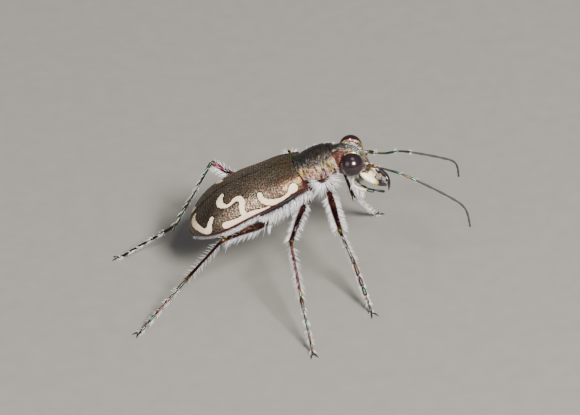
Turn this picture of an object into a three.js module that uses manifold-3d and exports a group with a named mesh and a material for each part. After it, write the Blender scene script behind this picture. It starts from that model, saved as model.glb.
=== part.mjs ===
// A bronzed tiger beetle, life size, standing high on straight legs with its head held up.
// Millimetres, +Z up, the head towards +X and its left side towards +Y.
import * as THREE from 'three';
import { mergeVertices } from 'three/addons/utils/BufferGeometryUtils.js';
import Module from 'manifold-3d';

const wasm = await Module();
wasm.setup();

// Driving dimensions of the stance
const GAP = 0.3;
const BODY_HEIGHT = 7.45;
const BODY_PITCH = 20;
const BODY_BANK = -3;
const HEAD_NOD = 55;

// Driving dimensions of the wing cases and the hind body under them
const ELYTRA_FRONT = -0.35;
const ELYTRA_REAR = -7.85;
const ELYTRA_HALF_WIDTH = 2.45;
const ELYTRA_VAULT = 1.62;
const MARGIN_FRONT = -0.12;
const MARGIN_REAR = -0.72;
const SHELL = 0.5;
const BELLY_DEPTH = 0.75;
const WAIST = -3.55;
const ABDOMEN_OVERHANG = 0.3;

// Driving dimensions of the fore body and head
const PRONOTUM_REAR = -0.05;
const PRONOTUM_FRONT = 2.2;
const PRONOTUM_HALF_WIDTH = 1.35;
const PRONOTUM_HALF_HEIGHT = 1.1;
const HEAD_CENTRE = [3.18, 0, -0.1];
const HEAD_HALF_WIDTH = 1.0;
const EYE_RADIUS = 0.74;
const EYE_SPREAD = 1.1;
const MOUTH = 1.3;

// Thinnest radius that a leg, feeler or palp is given
const THIN = 0.25;

// Locks and bristles of the white coat: how long they stand out of the shell, and how broad and
// thick they are at the root. Margins keep the rows of a leg clear of the joints at its two ends,
// and lean is the angle by which they tip towards its far end.
const ROOT_DEPTH = 0.14;
const FEMUR_FRINGE = {
  length: 0.6, width: 0.6, thickness: 0.42, spacing: 0.58, lean: 35, margins: [1, 0.4],
};
const HIND_FRINGE = { ...FEMUR_FRINGE, length: 0.75, margins: [0.8, 0.5] };
const TIBIA_SPINES = {
  length: 0.55, width: 0.42, thickness: 0.4, spacing: 0.58, lean: 45, margins: [0.4, 0.35],
};
const FLANK_COAT = { length: 0.95, width: 0.64, thickness: 0.45 };
const COLLAR_BURST = { length: 0.75, width: 0.52, thickness: 0.42 };
const PALP_BRISTLES = { length: 0.5, width: 0.4, thickness: 0.4 };

const UP = new THREE.Vector3(0, 0, 1);
const toRadians = THREE.MathUtils.degToRad;

// Finishes of the real shell, as seen in sunlight
const bronze = finish('#5b4a3f', 0.42, 0.5);
const bronzeFore = finish('#6d5347', 0.35, 0.6);
const copper = finish('#6a4236', 0.35, 0.6);
const tarsusGreen = finish('#3f5a50', 0.4, 0.6);
const feelerGrey = finish('#4a4744', 0.8, 0);
const eyeBrown = finish('#23130f', 0.12, 0);
const ivory = finish('#d9c9a8', 0.5, 0);
const bellyDark = finish('#2f2b2e', 0.45, 0.4);

function finish(color, roughness, metalness) {
  return new THREE.MeshStandardMaterial({ color, roughness, metalness });
}

// Reads a short list of values, spread evenly from u = 0 to u = 1, as one smooth curve
function smooth(values, u) {
  const last = values.length - 1;
  const at = THREE.MathUtils.clamp(u, 0, 1) * last;
  const i = Math.min(Math.floor(at), last - 1);
  const f = at - i;
  const before = values[Math.max(i - 1, 0)];
  const after = values[Math.min(i + 2, last)];
  const rise = (values[i + 1] - before) / 2;
  const fall = (after - values[i]) / 2;
  const step = values[i + 1] - values[i];
  return values[i] + f * (rise + f * (3 * step - 2 * rise - fall + f * (rise + fall - 2 * step)));
}

// 1 up to u = from, then down to 0 at u = 1 as a quarter of an ellipse
function roundedEnd(u, from) {
  return u <= from ? 1 : Math.sqrt(Math.max(0, 1 - ((u - from) / (1 - from)) ** 2));
}

function point(x, y, z) {
  return new THREE.Vector3(x, y, z);
}

function line(from, to) {
  return new THREE.LineCurve3(from, to);
}

function bent(...points) {
  return new THREE.CatmullRomCurve3(points);
}

// Where a row of rings lies along its curve: an end that is flat keeps a full ring on it,
// and rings crowd towards an end that is round
function ringPlace(row, rows, flat) {
  const first = flat.start ? 1 : 0;
  const last = flat.end ? rows - 1 : rows;
  const v = THREE.MathUtils.clamp((row - first) / (last - first), 0, 1);
  if (flat.start && flat.end) return v;
  if (flat.start) return Math.sin(v * Math.PI / 2);
  if (flat.end) return 1 - Math.cos(v * Math.PI / 2);
  return (1 - Math.cos(v * Math.PI)) / 2;
}

const BOTH_ENDS = { start: true, end: true };

// A closed skin drawn along a curve. section(u) gives its half width, its height above and
// below the curve, and how square it is. The skin is a ball whose rings are moved to their places.
function skin(curve, section, { sides = 10, rows = 8, flat = {}, up = UP } = {}) {
  const geometry = new THREE.SphereGeometry(1, sides, rows);
  const place = geometry.attributes.position;
  const vertex = new THREE.Vector3();
  for (let i = 0; i < place.count; i += 1) {
    vertex.fromBufferAttribute(place, i);
    const row = Math.round(Math.acos(THREE.MathUtils.clamp(vertex.y, -1, 1)) / Math.PI * rows);
    const column = Math.round(Math.atan2(vertex.z, vertex.x) / (2 * Math.PI) * sides);
    const angle = (column % sides) / sides * 2 * Math.PI;
    const u = ringPlace(row, rows, flat);
    const ahead = curve.getTangentAt(u);
    const side = new THREE.Vector3().crossVectors(up, ahead).normalize();
    const lift = new THREE.Vector3().crossVectors(ahead, side);
    const { wide, top, bottom, square = 1 } = section(u);
    const isPole = row === 0 || row === rows;
    const across = isPole ? 0 : wide * Math.sign(Math.cos(angle)) * Math.abs(Math.cos(angle)) ** (1 / square);
    const height = isPole ? 0 : (Math.sin(angle) > 0 ? top : bottom)
      * Math.sign(Math.sin(angle)) * Math.abs(Math.sin(angle)) ** (1 / square);
    vertex.copy(curve.getPointAt(u)).addScaledVector(side, across).addScaledVector(lift, height);
    place.setXYZ(i, vertex.x, vertex.y, vertex.z);
  }
  return solid(geometry);
}

// A round rod along a curve, with its radius given by radius(u)
function rod(curve, radius, options = {}) {
  const section = (u) => ({ wide: radius(u), top: radius(u), bottom: radius(u) });
  return skin(curve, section, { sides: 8, rows: 6, ...options });
}

// A closed three.js geometry as a solid that can be joined and cut
function solid(geometry) {
  const bare = geometry.clone();
  bare.deleteAttribute('normal');
  bare.deleteAttribute('uv');
  const merged = mergeVertices(bare, 1e-5);
  const vertProperties = Float32Array.from(merged.attributes.position.array);
  const triVerts = Uint32Array.from(merged.index.array);
  return new wasm.Manifold(new wasm.Mesh({ numProp: 3, vertProperties, triVerts }));
}

// The half of space behind a plane, as a block large enough for this insect
function behind(at, facing) {
  const size = 40;
  const block = new THREE.BoxGeometry(size, size, size);
  block.translate(0, 0, -size / 2);
  const turn = new THREE.Quaternion().setFromUnitVectors(UP, facing.clone().normalize());
  block.applyQuaternion(turn);
  block.translate(at.x, at.y, at.z);
  return solid(block);
}

function largest(shape) {
  const pieces = shape.decompose();
  return pieces.reduce((best, piece) => (piece.volume() > best.volume() ? piece : best));
}

// Random draws that come out the same each time
let seed = 7;
function vary(low, high) {
  seed = (seed * 16807) % 2147483647;
  return low + (high - low) * (seed / 2147483647);
}

// One flat, tapered lock or bristle. It starts inside the shell, stands out along way and bends
// towards lie, and its broad side faces across the bend.
function lock(surface, way, lie, { length, width, thickness }) {
  const half = 0.5 * length * vary(0.85, 1.1);
  const start = surface.clone().addScaledVector(way, -ROOT_DEPTH);
  const middle = surface.clone().addScaledVector(way, half);
  const tip = middle.clone().addScaledVector(way.clone().lerp(lie, 0.6).normalize(), half);
  const flatness = new THREE.Vector3().crossVectors(way, lie).cross(way).normalize();
  const taper = (u) => 1 - 0.85 * u * u;
  return skin(new THREE.QuadraticBezierCurve3(start, middle, tip), (u) => ({
    wide: width / 2 * taper(u),
    top: thickness / 2 * taper(u),
    bottom: thickness / 2 * taper(u),
  }), { sides: 4, rows: 3, flat: { start: true }, up: flatness });
}

// A row of bristles along a leg length, leaning towards its far end
function bristleRow(from, to, outward, row) {
  const [before, after] = row.margins;
  const along = to.clone().sub(from);
  const reach = along.length();
  along.normalize();
  const span = reach - before - after;
  const count = Math.floor(span / row.spacing) + 1;
  const shapes = [];
  for (let i = 0; i < count; i += 1) {
    const place = before + span * (i + vary(0.3, 0.7)) / count;
    const tilt = toRadians(row.lean + vary(-8, 8));
    const way = outward.clone().multiplyScalar(Math.cos(tilt)).addScaledVector(along, Math.sin(tilt));
    const surface = from.clone().addScaledVector(along, place).addScaledVector(outward, THIN * 0.8);
    shapes.push(lock(surface, way, along, row));
  }
  return shapes;
}

function join(base, shapes) {
  return shapes.reduce((whole, shape) => whole.add(shape), base);
}

const beetle = new THREE.Group();
const body = new THREE.Group();
const legs = new THREE.Group();
beetle.add(body, legs);
body.position.set(0, 0, BODY_HEIGHT);
body.rotation.set(toRadians(BODY_BANK), toRadians(-BODY_PITCH), 0, 'YXZ');
body.updateMatrixWorld(true);

function add(group, name, shape, material) {
  const { vertProperties, triVerts } = largest(shape).getMesh();
  const geometry = new THREE.BufferGeometry();
  geometry.setAttribute('position', new THREE.BufferAttribute(Float32Array.from(vertProperties), 3));
  geometry.setIndex(new THREE.BufferAttribute(Uint32Array.from(triVerts), 1));
  geometry.computeVertexNormals();
  const mesh = new THREE.Mesh(geometry, material);
  mesh.name = name;
  group.add(mesh);
}

// Left and right, with the sign of Y on each side
const SIDES = [['l', 1], ['r', -1]];

// Wing cases: one vault over the hind body, hollow below, parted along the middle.
// The vault stands on a margin that slopes down from the shoulders to the tip.
const ELYTRA_PLAN = [0.78, 0.89, 0.92, 0.95, 0.98, 1, 1, 0.98, 0.96];
const ELYTRA_RISE = [0.72, 0.84, 0.93, 0.98, 1, 1, 0.95, 0.88, 0.8];

function vault(inset, drop, lead = 0) {
  const shoulders = point(ELYTRA_FRONT + lead, 0, MARGIN_FRONT);
  const apex = point(ELYTRA_REAR + inset, 0, MARGIN_REAR);
  return skin(line(shoulders, apex), (u) => ({
    wide: Math.max(ELYTRA_HALF_WIDTH * smooth(ELYTRA_PLAN, u) * roundedEnd(u, 0.68) - inset, 0.02),
    top: Math.max(ELYTRA_VAULT * smooth(ELYTRA_RISE, u) * roundedEnd(u, 0.5) - inset, 0.02),
    bottom: drop,
    square: 1.15,
  }), { sides: 24, rows: 14, flat: { start: true } });
}

const hollow = vault(SHELL, 1, GAP);
for (const [side, sign] of SIDES) {
  const half = behind(point(0, sign * GAP / 2, 0), point(0, -sign, 0));
  add(body, `elytron_${side}`, vault(0, 0).subtract(hollow).intersect(half), bronze);
}

// Underside: the hind body fills the vault to a gap below the shell, and its belly hangs under
// the margin. A cut parts it into the hind thorax, which carries four legs, and the abdomen.
function belly(grow) {
  const front = point(ELYTRA_FRONT + grow, 0, MARGIN_FRONT - GAP);
  const rear = point(ELYTRA_REAR - ABDOMEN_OVERHANG - grow, 0, MARGIN_REAR - GAP);
  return skin(line(front, rear), (u) => ({
    wide: ELYTRA_HALF_WIDTH * smooth([0.62, 0.78, 0.8, 0.78, 0.76, 0.74, 0.7], u) * roundedEnd(u, 0.6) + grow,
    top: grow,
    bottom: BELLY_DEPTH * smooth([0.85, 1, 1, 1, 1, 0.95, 0.8], u) * roundedEnd(u, 0.7) + grow,
  }), { sides: 20, rows: 14, flat: { start: true } });
}

const forward = point(1, 0, 0);
const rearward = point(-1, 0, 0);
const hindBody = belly(0).add(vault(SHELL + GAP, GAP)).intersect(behind(point(ELYTRA_FRONT, 0, 0), forward));
const thorax = hindBody.intersect(behind(point(WAIST + GAP, 0, 0), rearward));
add(body, 'abdomen', hindBody.intersect(behind(point(WAIST, 0, 0), forward)), bellyDark);

// Prothorax: a barrel with a collar at each end
const pronotumLine = line(point(PRONOTUM_REAR, 0, 0.1), point(PRONOTUM_FRONT, 0, 0.12));

function barrel(grow) {
  return skin(pronotumLine, (u) => {
    const girth = smooth([0.9, 0.82, 0.96, 1, 0.98, 0.84, 0.92], u);
    return {
      wide: PRONOTUM_HALF_WIDTH * girth + grow,
      top: PRONOTUM_HALF_HEIGHT * smooth([0.93, 0.86, 0.98, 1, 0.98, 0.88, 0.95], u) + grow,
      bottom: PRONOTUM_HALF_HEIGHT * girth + grow,
      square: 1.1,
    };
  }, { sides: 20, rows: 14, flat: BOTH_ENDS });
}

// Head: nods down from the pronotum, widest across the eyes, and carries the mouth
const head = new THREE.Group();
body.add(head);
head.position.set(...HEAD_CENTRE);
head.rotation.set(0, toRadians(HEAD_NOD), 0);
head.updateMatrixWorld(true);

// The pronotum's front and the eyes, taken into the head's own frame
function intoHead(x, y, z) {
  return head.worldToLocal(body.localToWorld(point(x, y, z)));
}

const neck = intoHead(PRONOTUM_FRONT + GAP, 0, 0.12);
const neckFacing = intoHead(PRONOTUM_FRONT + GAP + 1, 0, 0.12).sub(neck);
const crown = point(-0.1, 0, -0.02);
const face = point(1.3, 0, -0.35);
const headLine = new THREE.QuadraticBezierCurve3(neck.clone().addScaledVector(neckFacing, -0.2), crown, face);

function capsule(grow) {
  return skin(headLine, (u) => ({
    wide: HEAD_HALF_WIDTH * smooth([0.95, 1, 0.95, 0.88, 0.85, 0.8, 0.68], u) + grow,
    top: smooth([0.85, 0.9, 0.8, 0.7, 0.66, 0.6, 0.42], u) + grow,
    bottom: smooth([0.85, 0.9, 0.95, 0.95, 0.9, 0.8, 0.55], u) + grow,
  }), { sides: 18, rows: 12, flat: BOTH_ENDS });
}

function eyeball(sign, radius) {
  const centre = point(0, sign * EYE_SPREAD, 0);
  const half = point(radius, 0, 0);
  const along = line(centre.clone().sub(half), centre.clone().add(half));
  return rod(along, (u) => 2 * radius * Math.sqrt(u * (1 - u)), { sides: 14, rows: 10 });
}

// Each eye sits in a socket cut from the capsule, a gap away from it
let skull = capsule(0).intersect(behind(neck, neckFacing.clone().negate()));
for (const [, sign] of SIDES) {
  skull = skull.subtract(eyeball(sign, EYE_RADIUS + GAP));
}
add(head, 'head', skull, bronzeFore);
for (const [side, sign] of SIDES) {
  add(head, `eye_${side}`, eyeball(sign, EYE_RADIUS), eyeBrown);
}

// Labrum: the ivory plate that juts from the face over the jaws
const labrumLine = line(point(MOUTH + 1.3 * GAP, 0, -0.1), point(MOUTH + 0.95, 0, -0.3));

function labrumPlate(grow) {
  return skin(labrumLine, (u) => ({
    wide: 0.68 * roundedEnd(u, 0.3) + grow,
    top: 0.25 * roundedEnd(u, 0.6) + grow,
    bottom: 0.25 * roundedEnd(u, 0.6) + grow,
    square: 1.3,
  }), { sides: 12, rows: 8, flat: { start: true } });
}

add(head, 'labrum', labrumPlate(0), ivory);

// Jaws: long sickles, ivory at the base and black at the toothed tips, that almost meet
const JAW_SPREAD = 0.72;
const JAW_LEVEL = -0.66;
for (const [side, sign] of SIDES) {
  const sickle = bent(
    point(MOUTH + GAP, sign * JAW_SPREAD, JAW_LEVEL),
    point(MOUTH + 0.8, sign * (JAW_SPREAD + 0.1), JAW_LEVEL),
    point(MOUTH + 1.5, sign * 0.6, JAW_LEVEL - 0.06),
    point(MOUTH + 2, sign * 0.25, JAW_LEVEL - 0.14),
  );
  const blade = skin(sickle, (u) => {
    const girth = smooth([0.34, 0.34, 0.3, 0.25, 0.1], u);
    return { wide: girth, top: 0.75 * girth, bottom: 0.75 * girth };
  }, { sides: 8, rows: 9, flat: { start: true } });
  const toothLine = line(
    point(MOUTH + 1.25, sign * 0.68, JAW_LEVEL - 0.06),
    point(MOUTH + 1.4, sign * 0.22, JAW_LEVEL - 0.1),
  );
  const tooth = rod(toothLine, (u) => 0.2 - 0.12 * u, { sides: 6, rows: 3, flat: BOTH_ENDS });
  add(head, `mandible_${side}`, blade.add(tooth).subtract(labrumPlate(1.3 * GAP)), ivory);
}

// Palps: on each side a slim maxillary and a stouter labial feeler, joined at the root under the mouth
for (const [side, sign] of SIDES) {
  const root = point(MOUTH - 0.6, sign * 0.5, -0.8);
  const maxillary = bent(
    root,
    point(MOUTH - 0.1, sign * 0.62, -1.45),
    point(MOUTH + 0.6, sign * 0.85, -1.5),
    point(MOUTH + 1.6, sign * 0.6, -1.36),
  );
  const labial = bent(
    root,
    point(MOUTH - 0.2, sign * 0.5, -1.65),
    point(MOUTH + 0.4, sign * 0.62, -1.95),
    point(MOUTH + 1.1, sign * 0.55, -1.9),
  );
  const rows = { rows: 11, flat: { start: true } };
  const slim = rod(maxillary, (u) => smooth([THIN, THIN, THIN, THIN, 0.2, 0.22, 0.18], u), rows);
  const stout = rod(labial, (u) => smooth([THIN, THIN, 0.3, 0.36, 0.3, 0.2], u), rows);
  const bristles = [0.45, 0.62, 0.8].flatMap((u) => [-1, 1].map((fan) => {
    const along = labial.getTangentAt(u);
    const way = point(0.2, sign * 0.5 * fan, -0.8).addScaledVector(along, 0.3).normalize();
    return lock(labial.getPointAt(u).addScaledVector(way, THIN), way, along, PALP_BRISTLES);
  }));
  add(head, `palps_${side}`, join(slim.add(stout), bristles).subtract(capsule(GAP)), ivory);
}

// Feelers: eleven joints each. The first four are bare and metallic, the rest are dull and downy.
// Each row gives a point of the feeler in the body's frame, from its root to its tip.
const ANTENNA_ROUTES = {
  r: [[3.99, -0.78, -0.7], [5.08, -1.18, -1.31], [6.11, -1.52, -2.11], [7.9, -2.09, -4.04],
    [8.58, -2.34, -5.17], [8.41, -2.57, -6.41]],
  l: [[4.03, 0.78, -0.66], [4.82, 1.39, -1.57], [5.85, 1.94, -2.23], [7.56, 2.91, -4.1],
    [8.25, 3.35, -5.15], [8.0, 3.74, -6.39]],
};
const ANTENNA_JOINTS = [0, 0.12, 0.15, 0.28, 0.41, 0.54, 0.655, 0.755, 0.835, 0.91, 0.965, 1];
const METALLIC_JOINTS = 4;

class Stretch extends THREE.Curve {
  constructor(curve, start, end) {
    super();
    Object.assign(this, { curve, start, end });
  }

  getPoint(u, target = new THREE.Vector3()) {
    return this.curve.getPointAt(this.start + (this.end - this.start) * u, target);
  }
}

// A run of joints as one rod, each joint a little wider at its far end
function jointed(route, joints, radius) {
  const [start, end] = [joints[0], joints[joints.length - 1]];
  const swelling = 0.04;
  const isFarEnd = (u) => joints.findIndex((joint) => joint >= start + (end - start) * u - 1e-6) % 2 === 1;
  return rod(new Stretch(route, start, end), (u) => radius + (isFarEnd(u) ? swelling : 0), {
    sides: 6, rows: 2 * joints.length, flat: BOTH_ENDS,
  });
}

for (const [side] of SIDES) {
  const route = bent(...ANTENNA_ROUTES[side].map((place) => point(...place)));
  const gapShare = GAP / route.getLength();
  const base = [gapShare, ...ANTENNA_JOINTS.slice(1, METALLIC_JOINTS + 1)];
  const tip = [base[METALLIC_JOINTS] + gapShare, ...ANTENNA_JOINTS.slice(METALLIC_JOINTS + 1)];
  add(body, `antenna_${side}_base`, jointed(route, base, THIN), tarsusGreen);
  add(body, `antenna_${side}_tip`, jointed(route, tip, THIN), feelerGrey);
}

// Legs: each row gives a pair's hip on the body, and its lengths from hip to knee, knee to ankle
// and ankle to claws
const LEG_PAIRS = {
  front: { hip: [1.1, 1.0, -1.35], root: [1.2, 0.4, -0.7], femur: 3.3, tibia: 3, tarsus: 3.45 },
  middle: { hip: [-0.4, 1.2, -1.3], root: [-1.2, 0.6, -0.7], femur: 3.65, tibia: 3.5, tarsus: 3.6 },
  hind: { hip: [-3.0, 1.5, -1.6], root: [-2.4, 0.8, -0.7], femur: 4.5, tibia: 4.6, tarsus: 4.6 },
};

// How each leg is held: heading and rise of the femur and of the tibia, and heading of the foot,
// in degrees, with 0 towards the head and 90 towards the left
const LEG_POSES = [
  { pair: 'front', side: 'r', femur: [-81, -17], tibia: [44, -70], foot: -63 },
  { pair: 'front', side: 'l', femur: [75, -16], tibia: [1, -75], foot: 45 },
  { pair: 'middle', side: 'r', femur: [-109, -11], tibia: [-81, -47], foot: -77 },
  { pair: 'middle', side: 'l', femur: [104, -1], tibia: [91, -92], foot: 91 },
  { pair: 'hind', side: 'r', femur: [-134, 13], tibia: [146, -53], foot: -144 },
  { pair: 'hind', side: 'l', femur: [141, 14], tibia: [-142, -45], foot: 170 },
];

const FEMUR_GIRTH = [0.3, 0.36, 0.35, 0.3, 0.26];
const TIBIA_GIRTH = [0.25, 0.25, 0.25, 0.26, 0.28];
const FOOT_GIRTH = [0.25, 0.27, 0.25, 0.26, 0.25];
const COXA_RADIUS = 0.38;
const CLAW_LENGTH = 0.6;
const CLAW_SPREAD = 32;
const FLOOR_FACE = point(0, 0, -1);

function direction(heading, rise) {
  const a = toRadians(heading);
  const b = toRadians(rise);
  return point(Math.cos(a) * Math.cos(b), Math.sin(a) * Math.cos(b), Math.sin(b));
}

// All that the legs are cut clear of: the body with a gap around it, in its own frame and standing
const trunk = barrel(GAP).add(belly(GAP)).add(vault(-GAP, GAP, GAP));
const standingTrunk = trunk.transform(body.matrixWorld.elements);

// A leg length from one joint to the next, run on past both and cut back to half a gap from each
// by the plane that halves the bend there, so that neighbours meet face to face.
// The last length ends on the floor, where the cut is level and has no gap.
function segment(from, to, startFacing, endFacing, girth, facets) {
  const along = to.clone().sub(from).normalize();
  const reach = 0.45;
  const start = from.clone().addScaledVector(along, -reach);
  const end = to.clone().addScaledVector(along, reach);
  const startCut = from.clone().addScaledVector(startFacing, GAP / 2);
  const endCut = to.clone().addScaledVector(endFacing, endFacing === FLOOR_FACE ? 0 : -GAP / 2);
  return rod(line(start, end), (u) => smooth(girth, u), { flat: BOTH_ENDS, ...facets })
    .intersect(behind(startCut, startFacing.clone().negate()))
    .intersect(behind(endCut, endFacing));
}

function halfway(a, b) {
  return a.clone().add(b).normalize();
}

// Works out where the joints of a leg stand
function stance(pose) {
  const pair = LEG_PAIRS[pose.pair];
  const sign = pose.side === 'l' ? 1 : -1;
  const [hipX, hipY, hipZ] = pair.hip;
  const [rootX, rootY, rootZ] = pair.root;
  const hipOnBody = point(hipX, sign * hipY, hipZ);
  const hip = body.localToWorld(hipOnBody.clone());
  const femurWay = direction(...pose.femur);
  const tibiaWay = direction(...pose.tibia);
  const knee = hip.clone().addScaledVector(femurWay, pair.femur);
  const ankle = knee.clone().addScaledVector(tibiaWay, pair.tibia);
  const stride = Math.sqrt(pair.tarsus ** 2 - ankle.z ** 2);
  const tip = point(ankle.x, ankle.y, 0).addScaledVector(direction(pose.foot, 0), stride);
  const kneeOnBody = body.worldToLocal(knee.clone());
  return {
    name: `${pose.pair}_${pose.side}`, isHind: pose.pair === 'hind', foot: pose.foot,
    root: point(rootX, sign * rootY, rootZ), hipOnBody, hip, knee, kneeOnBody, ankle, tip,
    femurWay, tibiaWay, tarsusWay: tip.clone().sub(ankle).normalize(),
    // Square to the plane in which the knee bends
    across: new THREE.Vector3().crossVectors(femurWay, tibiaWay).normalize(),
  };
}

const stances = LEG_POSES.map(stance);

// Under the body: a coxa for each leg
for (const leg of stances) {
  const coxaWay = leg.kneeOnBody.clone().sub(leg.hipOnBody).normalize();
  const run = leg.hipOnBody.clone().addScaledVector(coxaWay, GAP);
  const coxa = rod(bent(leg.root, leg.hipOnBody, run), () => COXA_RADIUS, { flat: BOTH_ENDS });
  const face = leg.hipOnBody.clone().addScaledVector(coxaWay, -GAP / 2);
  add(body, `coxa_${leg.name}`, coxa.intersect(behind(face, coxaWay)).subtract(trunk), copper);
}

// Femora carry a white fringe before and behind, tibiae a row of bristles on each side, and each
// tarsus ends in two claws along the floor, where the foot is cut flat
for (const leg of stances) {
  const atKnee = halfway(leg.femurWay, leg.tibiaWay);
  const atAnkle = halfway(leg.tibiaWay, leg.tarsusWay);
  const femur = segment(leg.hip, leg.knee, leg.femurWay, atKnee, FEMUR_GIRTH, { sides: 8, rows: 6 });
  const tibia = segment(leg.knee, leg.ankle, atKnee, atAnkle, TIBIA_GIRTH, { sides: 6, rows: 4 });
  const tarsus = segment(leg.ankle, leg.tip, atAnkle, FLOOR_FACE, FOOT_GIRTH, { sides: 6, rows: 6 });
  const fringe = leg.isHind ? HIND_FRINGE : FEMUR_FRINGE;
  const femurRows = [];
  const tibiaRows = [];
  for (const hand of [-1, 1]) {
    const outward = leg.across.clone().multiplyScalar(hand);
    femurRows.push(...bristleRow(leg.hip, leg.knee, outward, fringe));
    tibiaRows.push(...bristleRow(leg.knee, leg.ankle, outward, TIBIA_SPINES));
  }
  add(legs, `femur_${leg.name}`, join(femur, femurRows).subtract(standingTrunk), copper);
  add(legs, `tibia_${leg.name}`, join(tibia, tibiaRows), copper);

  const claws = [-CLAW_SPREAD, CLAW_SPREAD].map((spread) => {
    const claw = line(
      leg.tip.clone().addScaledVector(leg.tarsusWay, -CLAW_LENGTH / 2),
      leg.tip.clone().addScaledVector(direction(leg.foot + spread, 0), CLAW_LENGTH),
    );
    return rod(claw, (u) => 0.2 - 0.15 * u, { sides: 5, rows: 3, flat: BOTH_ENDS });
  });
  const foot = join(tarsus, claws).intersect(behind(point(0, 0, 0), FLOOR_FACE));
  add(legs, `tarsus_${leg.name}`, foot, tarsusGreen);
}

// Room that the coat leaves for the coxae and femora, in the body's frame
const thickestFemur = Math.max(...FEMUR_GIRTH);
const legRoom = stances
  .flatMap((leg) => [
    rod(line(leg.hipOnBody, leg.kneeOnBody), () => thickestFemur + GAP, { flat: BOTH_ENDS }),
    rod(line(leg.root, leg.hipOnBody), () => COXA_RADIUS + GAP, { flat: BOTH_ENDS }),
  ])
  .reduce((room, shape) => room.add(shape));

// Long white hair hangs back and down from the flanks of the hind thorax, in an upper and a
// lower row on each side
const COAT_ROWS = [{ reach: 1.72, level: -0.62, lag: 0 }, { reach: 1.47, level: -0.92, lag: 0.5 }];
const COAT_FRONT = -0.75;
const COAT_REAR = WAIST + 0.65;
const LOCKS_IN_ROW = 6;
const coat = [];
for (const [, sign] of SIDES) {
  for (const { reach, level, lag } of COAT_ROWS) {
    for (let i = 0; i < LOCKS_IN_ROW; i += 1) {
      const x = THREE.MathUtils.lerp(COAT_FRONT, COAT_REAR, (i + lag) / (LOCKS_IN_ROW - 0.5));
      const surface = point(x, sign * reach, level + 0.06 * x);
      const way = point(-0.25, sign * 0.75, -0.6).normalize();
      const lie = point(-0.75, sign * 0.1, -0.65).normalize();
      coat.push(lock(surface, way, lie, FLANK_COAT));
    }
  }
}
const clearCoat = join(coat[0], coat.slice(1)).subtract(legRoom).subtract(vault(-GAP, GAP, GAP));
add(body, 'thorax', thorax.add(clearCoat), bellyDark);

// A burst of stiff white hair stands out round the root of each front leg, on the flank of the prothorax
const BURST_CENTRE = [1.15, 1.12, -0.55];
const BURST_RADIUS = 0.38;
const SPOKES = 9;
const burst = [];
for (const [, sign] of SIDES) {
  for (let i = 0; i < SPOKES; i += 1) {
    const turn = toRadians(-205 + 28 * i + vary(-6, 6));
    const [x, y, z] = BURST_CENTRE;
    const spoke = point(Math.cos(turn), 0, Math.sin(turn));
    const surface = point(x, sign * y, z).addScaledVector(spoke, BURST_RADIUS);
    const way = spoke.clone().add(point(0, sign * 0.8, 0)).normalize();
    burst.push(lock(surface, way, spoke, COLLAR_BURST));
  }
}
const clearBurst = join(burst[0], burst.slice(1)).subtract(legRoom);
add(body, 'pronotum', barrel(0).add(clearBurst), bronzeFore);

// The origin is on the floor, under the middle of the whole insect
beetle.updateMatrixWorld(true);
const extent = new THREE.Box3().setFromObject(beetle, true);
const middle = extent.getCenter(new THREE.Vector3());
beetle.position.set(-middle.x, -middle.y, 0);
beetle.updateMatrixWorld(true);

export default beetle;
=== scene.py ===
import math

import bmesh
import bpy
import numpy as np
from mathutils import Matrix, Vector
from mathutils.kdtree import KDTree


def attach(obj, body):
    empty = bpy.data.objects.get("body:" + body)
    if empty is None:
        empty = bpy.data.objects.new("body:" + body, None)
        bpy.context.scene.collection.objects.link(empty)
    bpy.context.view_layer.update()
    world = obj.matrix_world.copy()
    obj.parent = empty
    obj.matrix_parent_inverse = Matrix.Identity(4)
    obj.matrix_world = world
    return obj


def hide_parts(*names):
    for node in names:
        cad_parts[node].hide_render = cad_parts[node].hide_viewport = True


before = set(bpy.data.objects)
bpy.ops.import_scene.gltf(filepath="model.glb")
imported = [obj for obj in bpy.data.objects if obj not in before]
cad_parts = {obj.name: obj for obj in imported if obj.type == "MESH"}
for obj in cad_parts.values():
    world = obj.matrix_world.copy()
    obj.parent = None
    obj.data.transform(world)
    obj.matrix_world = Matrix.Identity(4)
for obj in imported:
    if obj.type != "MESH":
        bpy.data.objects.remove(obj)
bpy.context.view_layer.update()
bpy.ops.object.select_all(action="DESELECT")


# Camera and lights: the camera looks down on the right flank of the beetle from far off, as through
# a long lens. The light is soft studio light, with the key light high on the camera's side.
MM = 0.001
FRAME_WIDTH_PX = 580
PX_PER_MM = 16.12
CAMERA_DISTANCE = 400
LOOK_RISE, LOOK_TURN, LOOK_ROLL = (math.radians(a) for a in (34.1, 0.8, -3.7))
AIM = np.array([0.569, -0.013, 5.0])
AIM_OFFSET_PX = np.array([8.213, 7.132])

level = np.array([math.cos(LOOK_TURN), -math.sin(LOOK_TURN), 0])
away = np.array([math.sin(LOOK_TURN), math.cos(LOOK_TURN), 0])
steep = away * math.sin(LOOK_RISE) + np.array([0, 0, 1]) * math.cos(LOOK_RISE)
right = level * math.cos(LOOK_ROLL) + steep * math.sin(LOOK_ROLL)
above = steep * math.cos(LOOK_ROLL) - level * math.sin(LOOK_ROLL)
ahead = np.cross(above, right)
stand = AIM - CAMERA_DISTANCE * ahead
stand = stand + (above * AIM_OFFSET_PX[1] - right * AIM_OFFSET_PX[0]) / PX_PER_MM

bpy.ops.object.camera_add()
camera = bpy.context.object
camera.data.sensor_width = 36
camera.data.lens = CAMERA_DISTANCE * PX_PER_MM / FRAME_WIDTH_PX * camera.data.sensor_width
camera.data.clip_start = 0.01
pose = np.eye(4)
pose[:3, :3] = np.column_stack([right, above, -ahead])
pose[:3, 3] = stand * MM
camera.matrix_world = Matrix(pose)
bpy.context.scene.camera = camera


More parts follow.
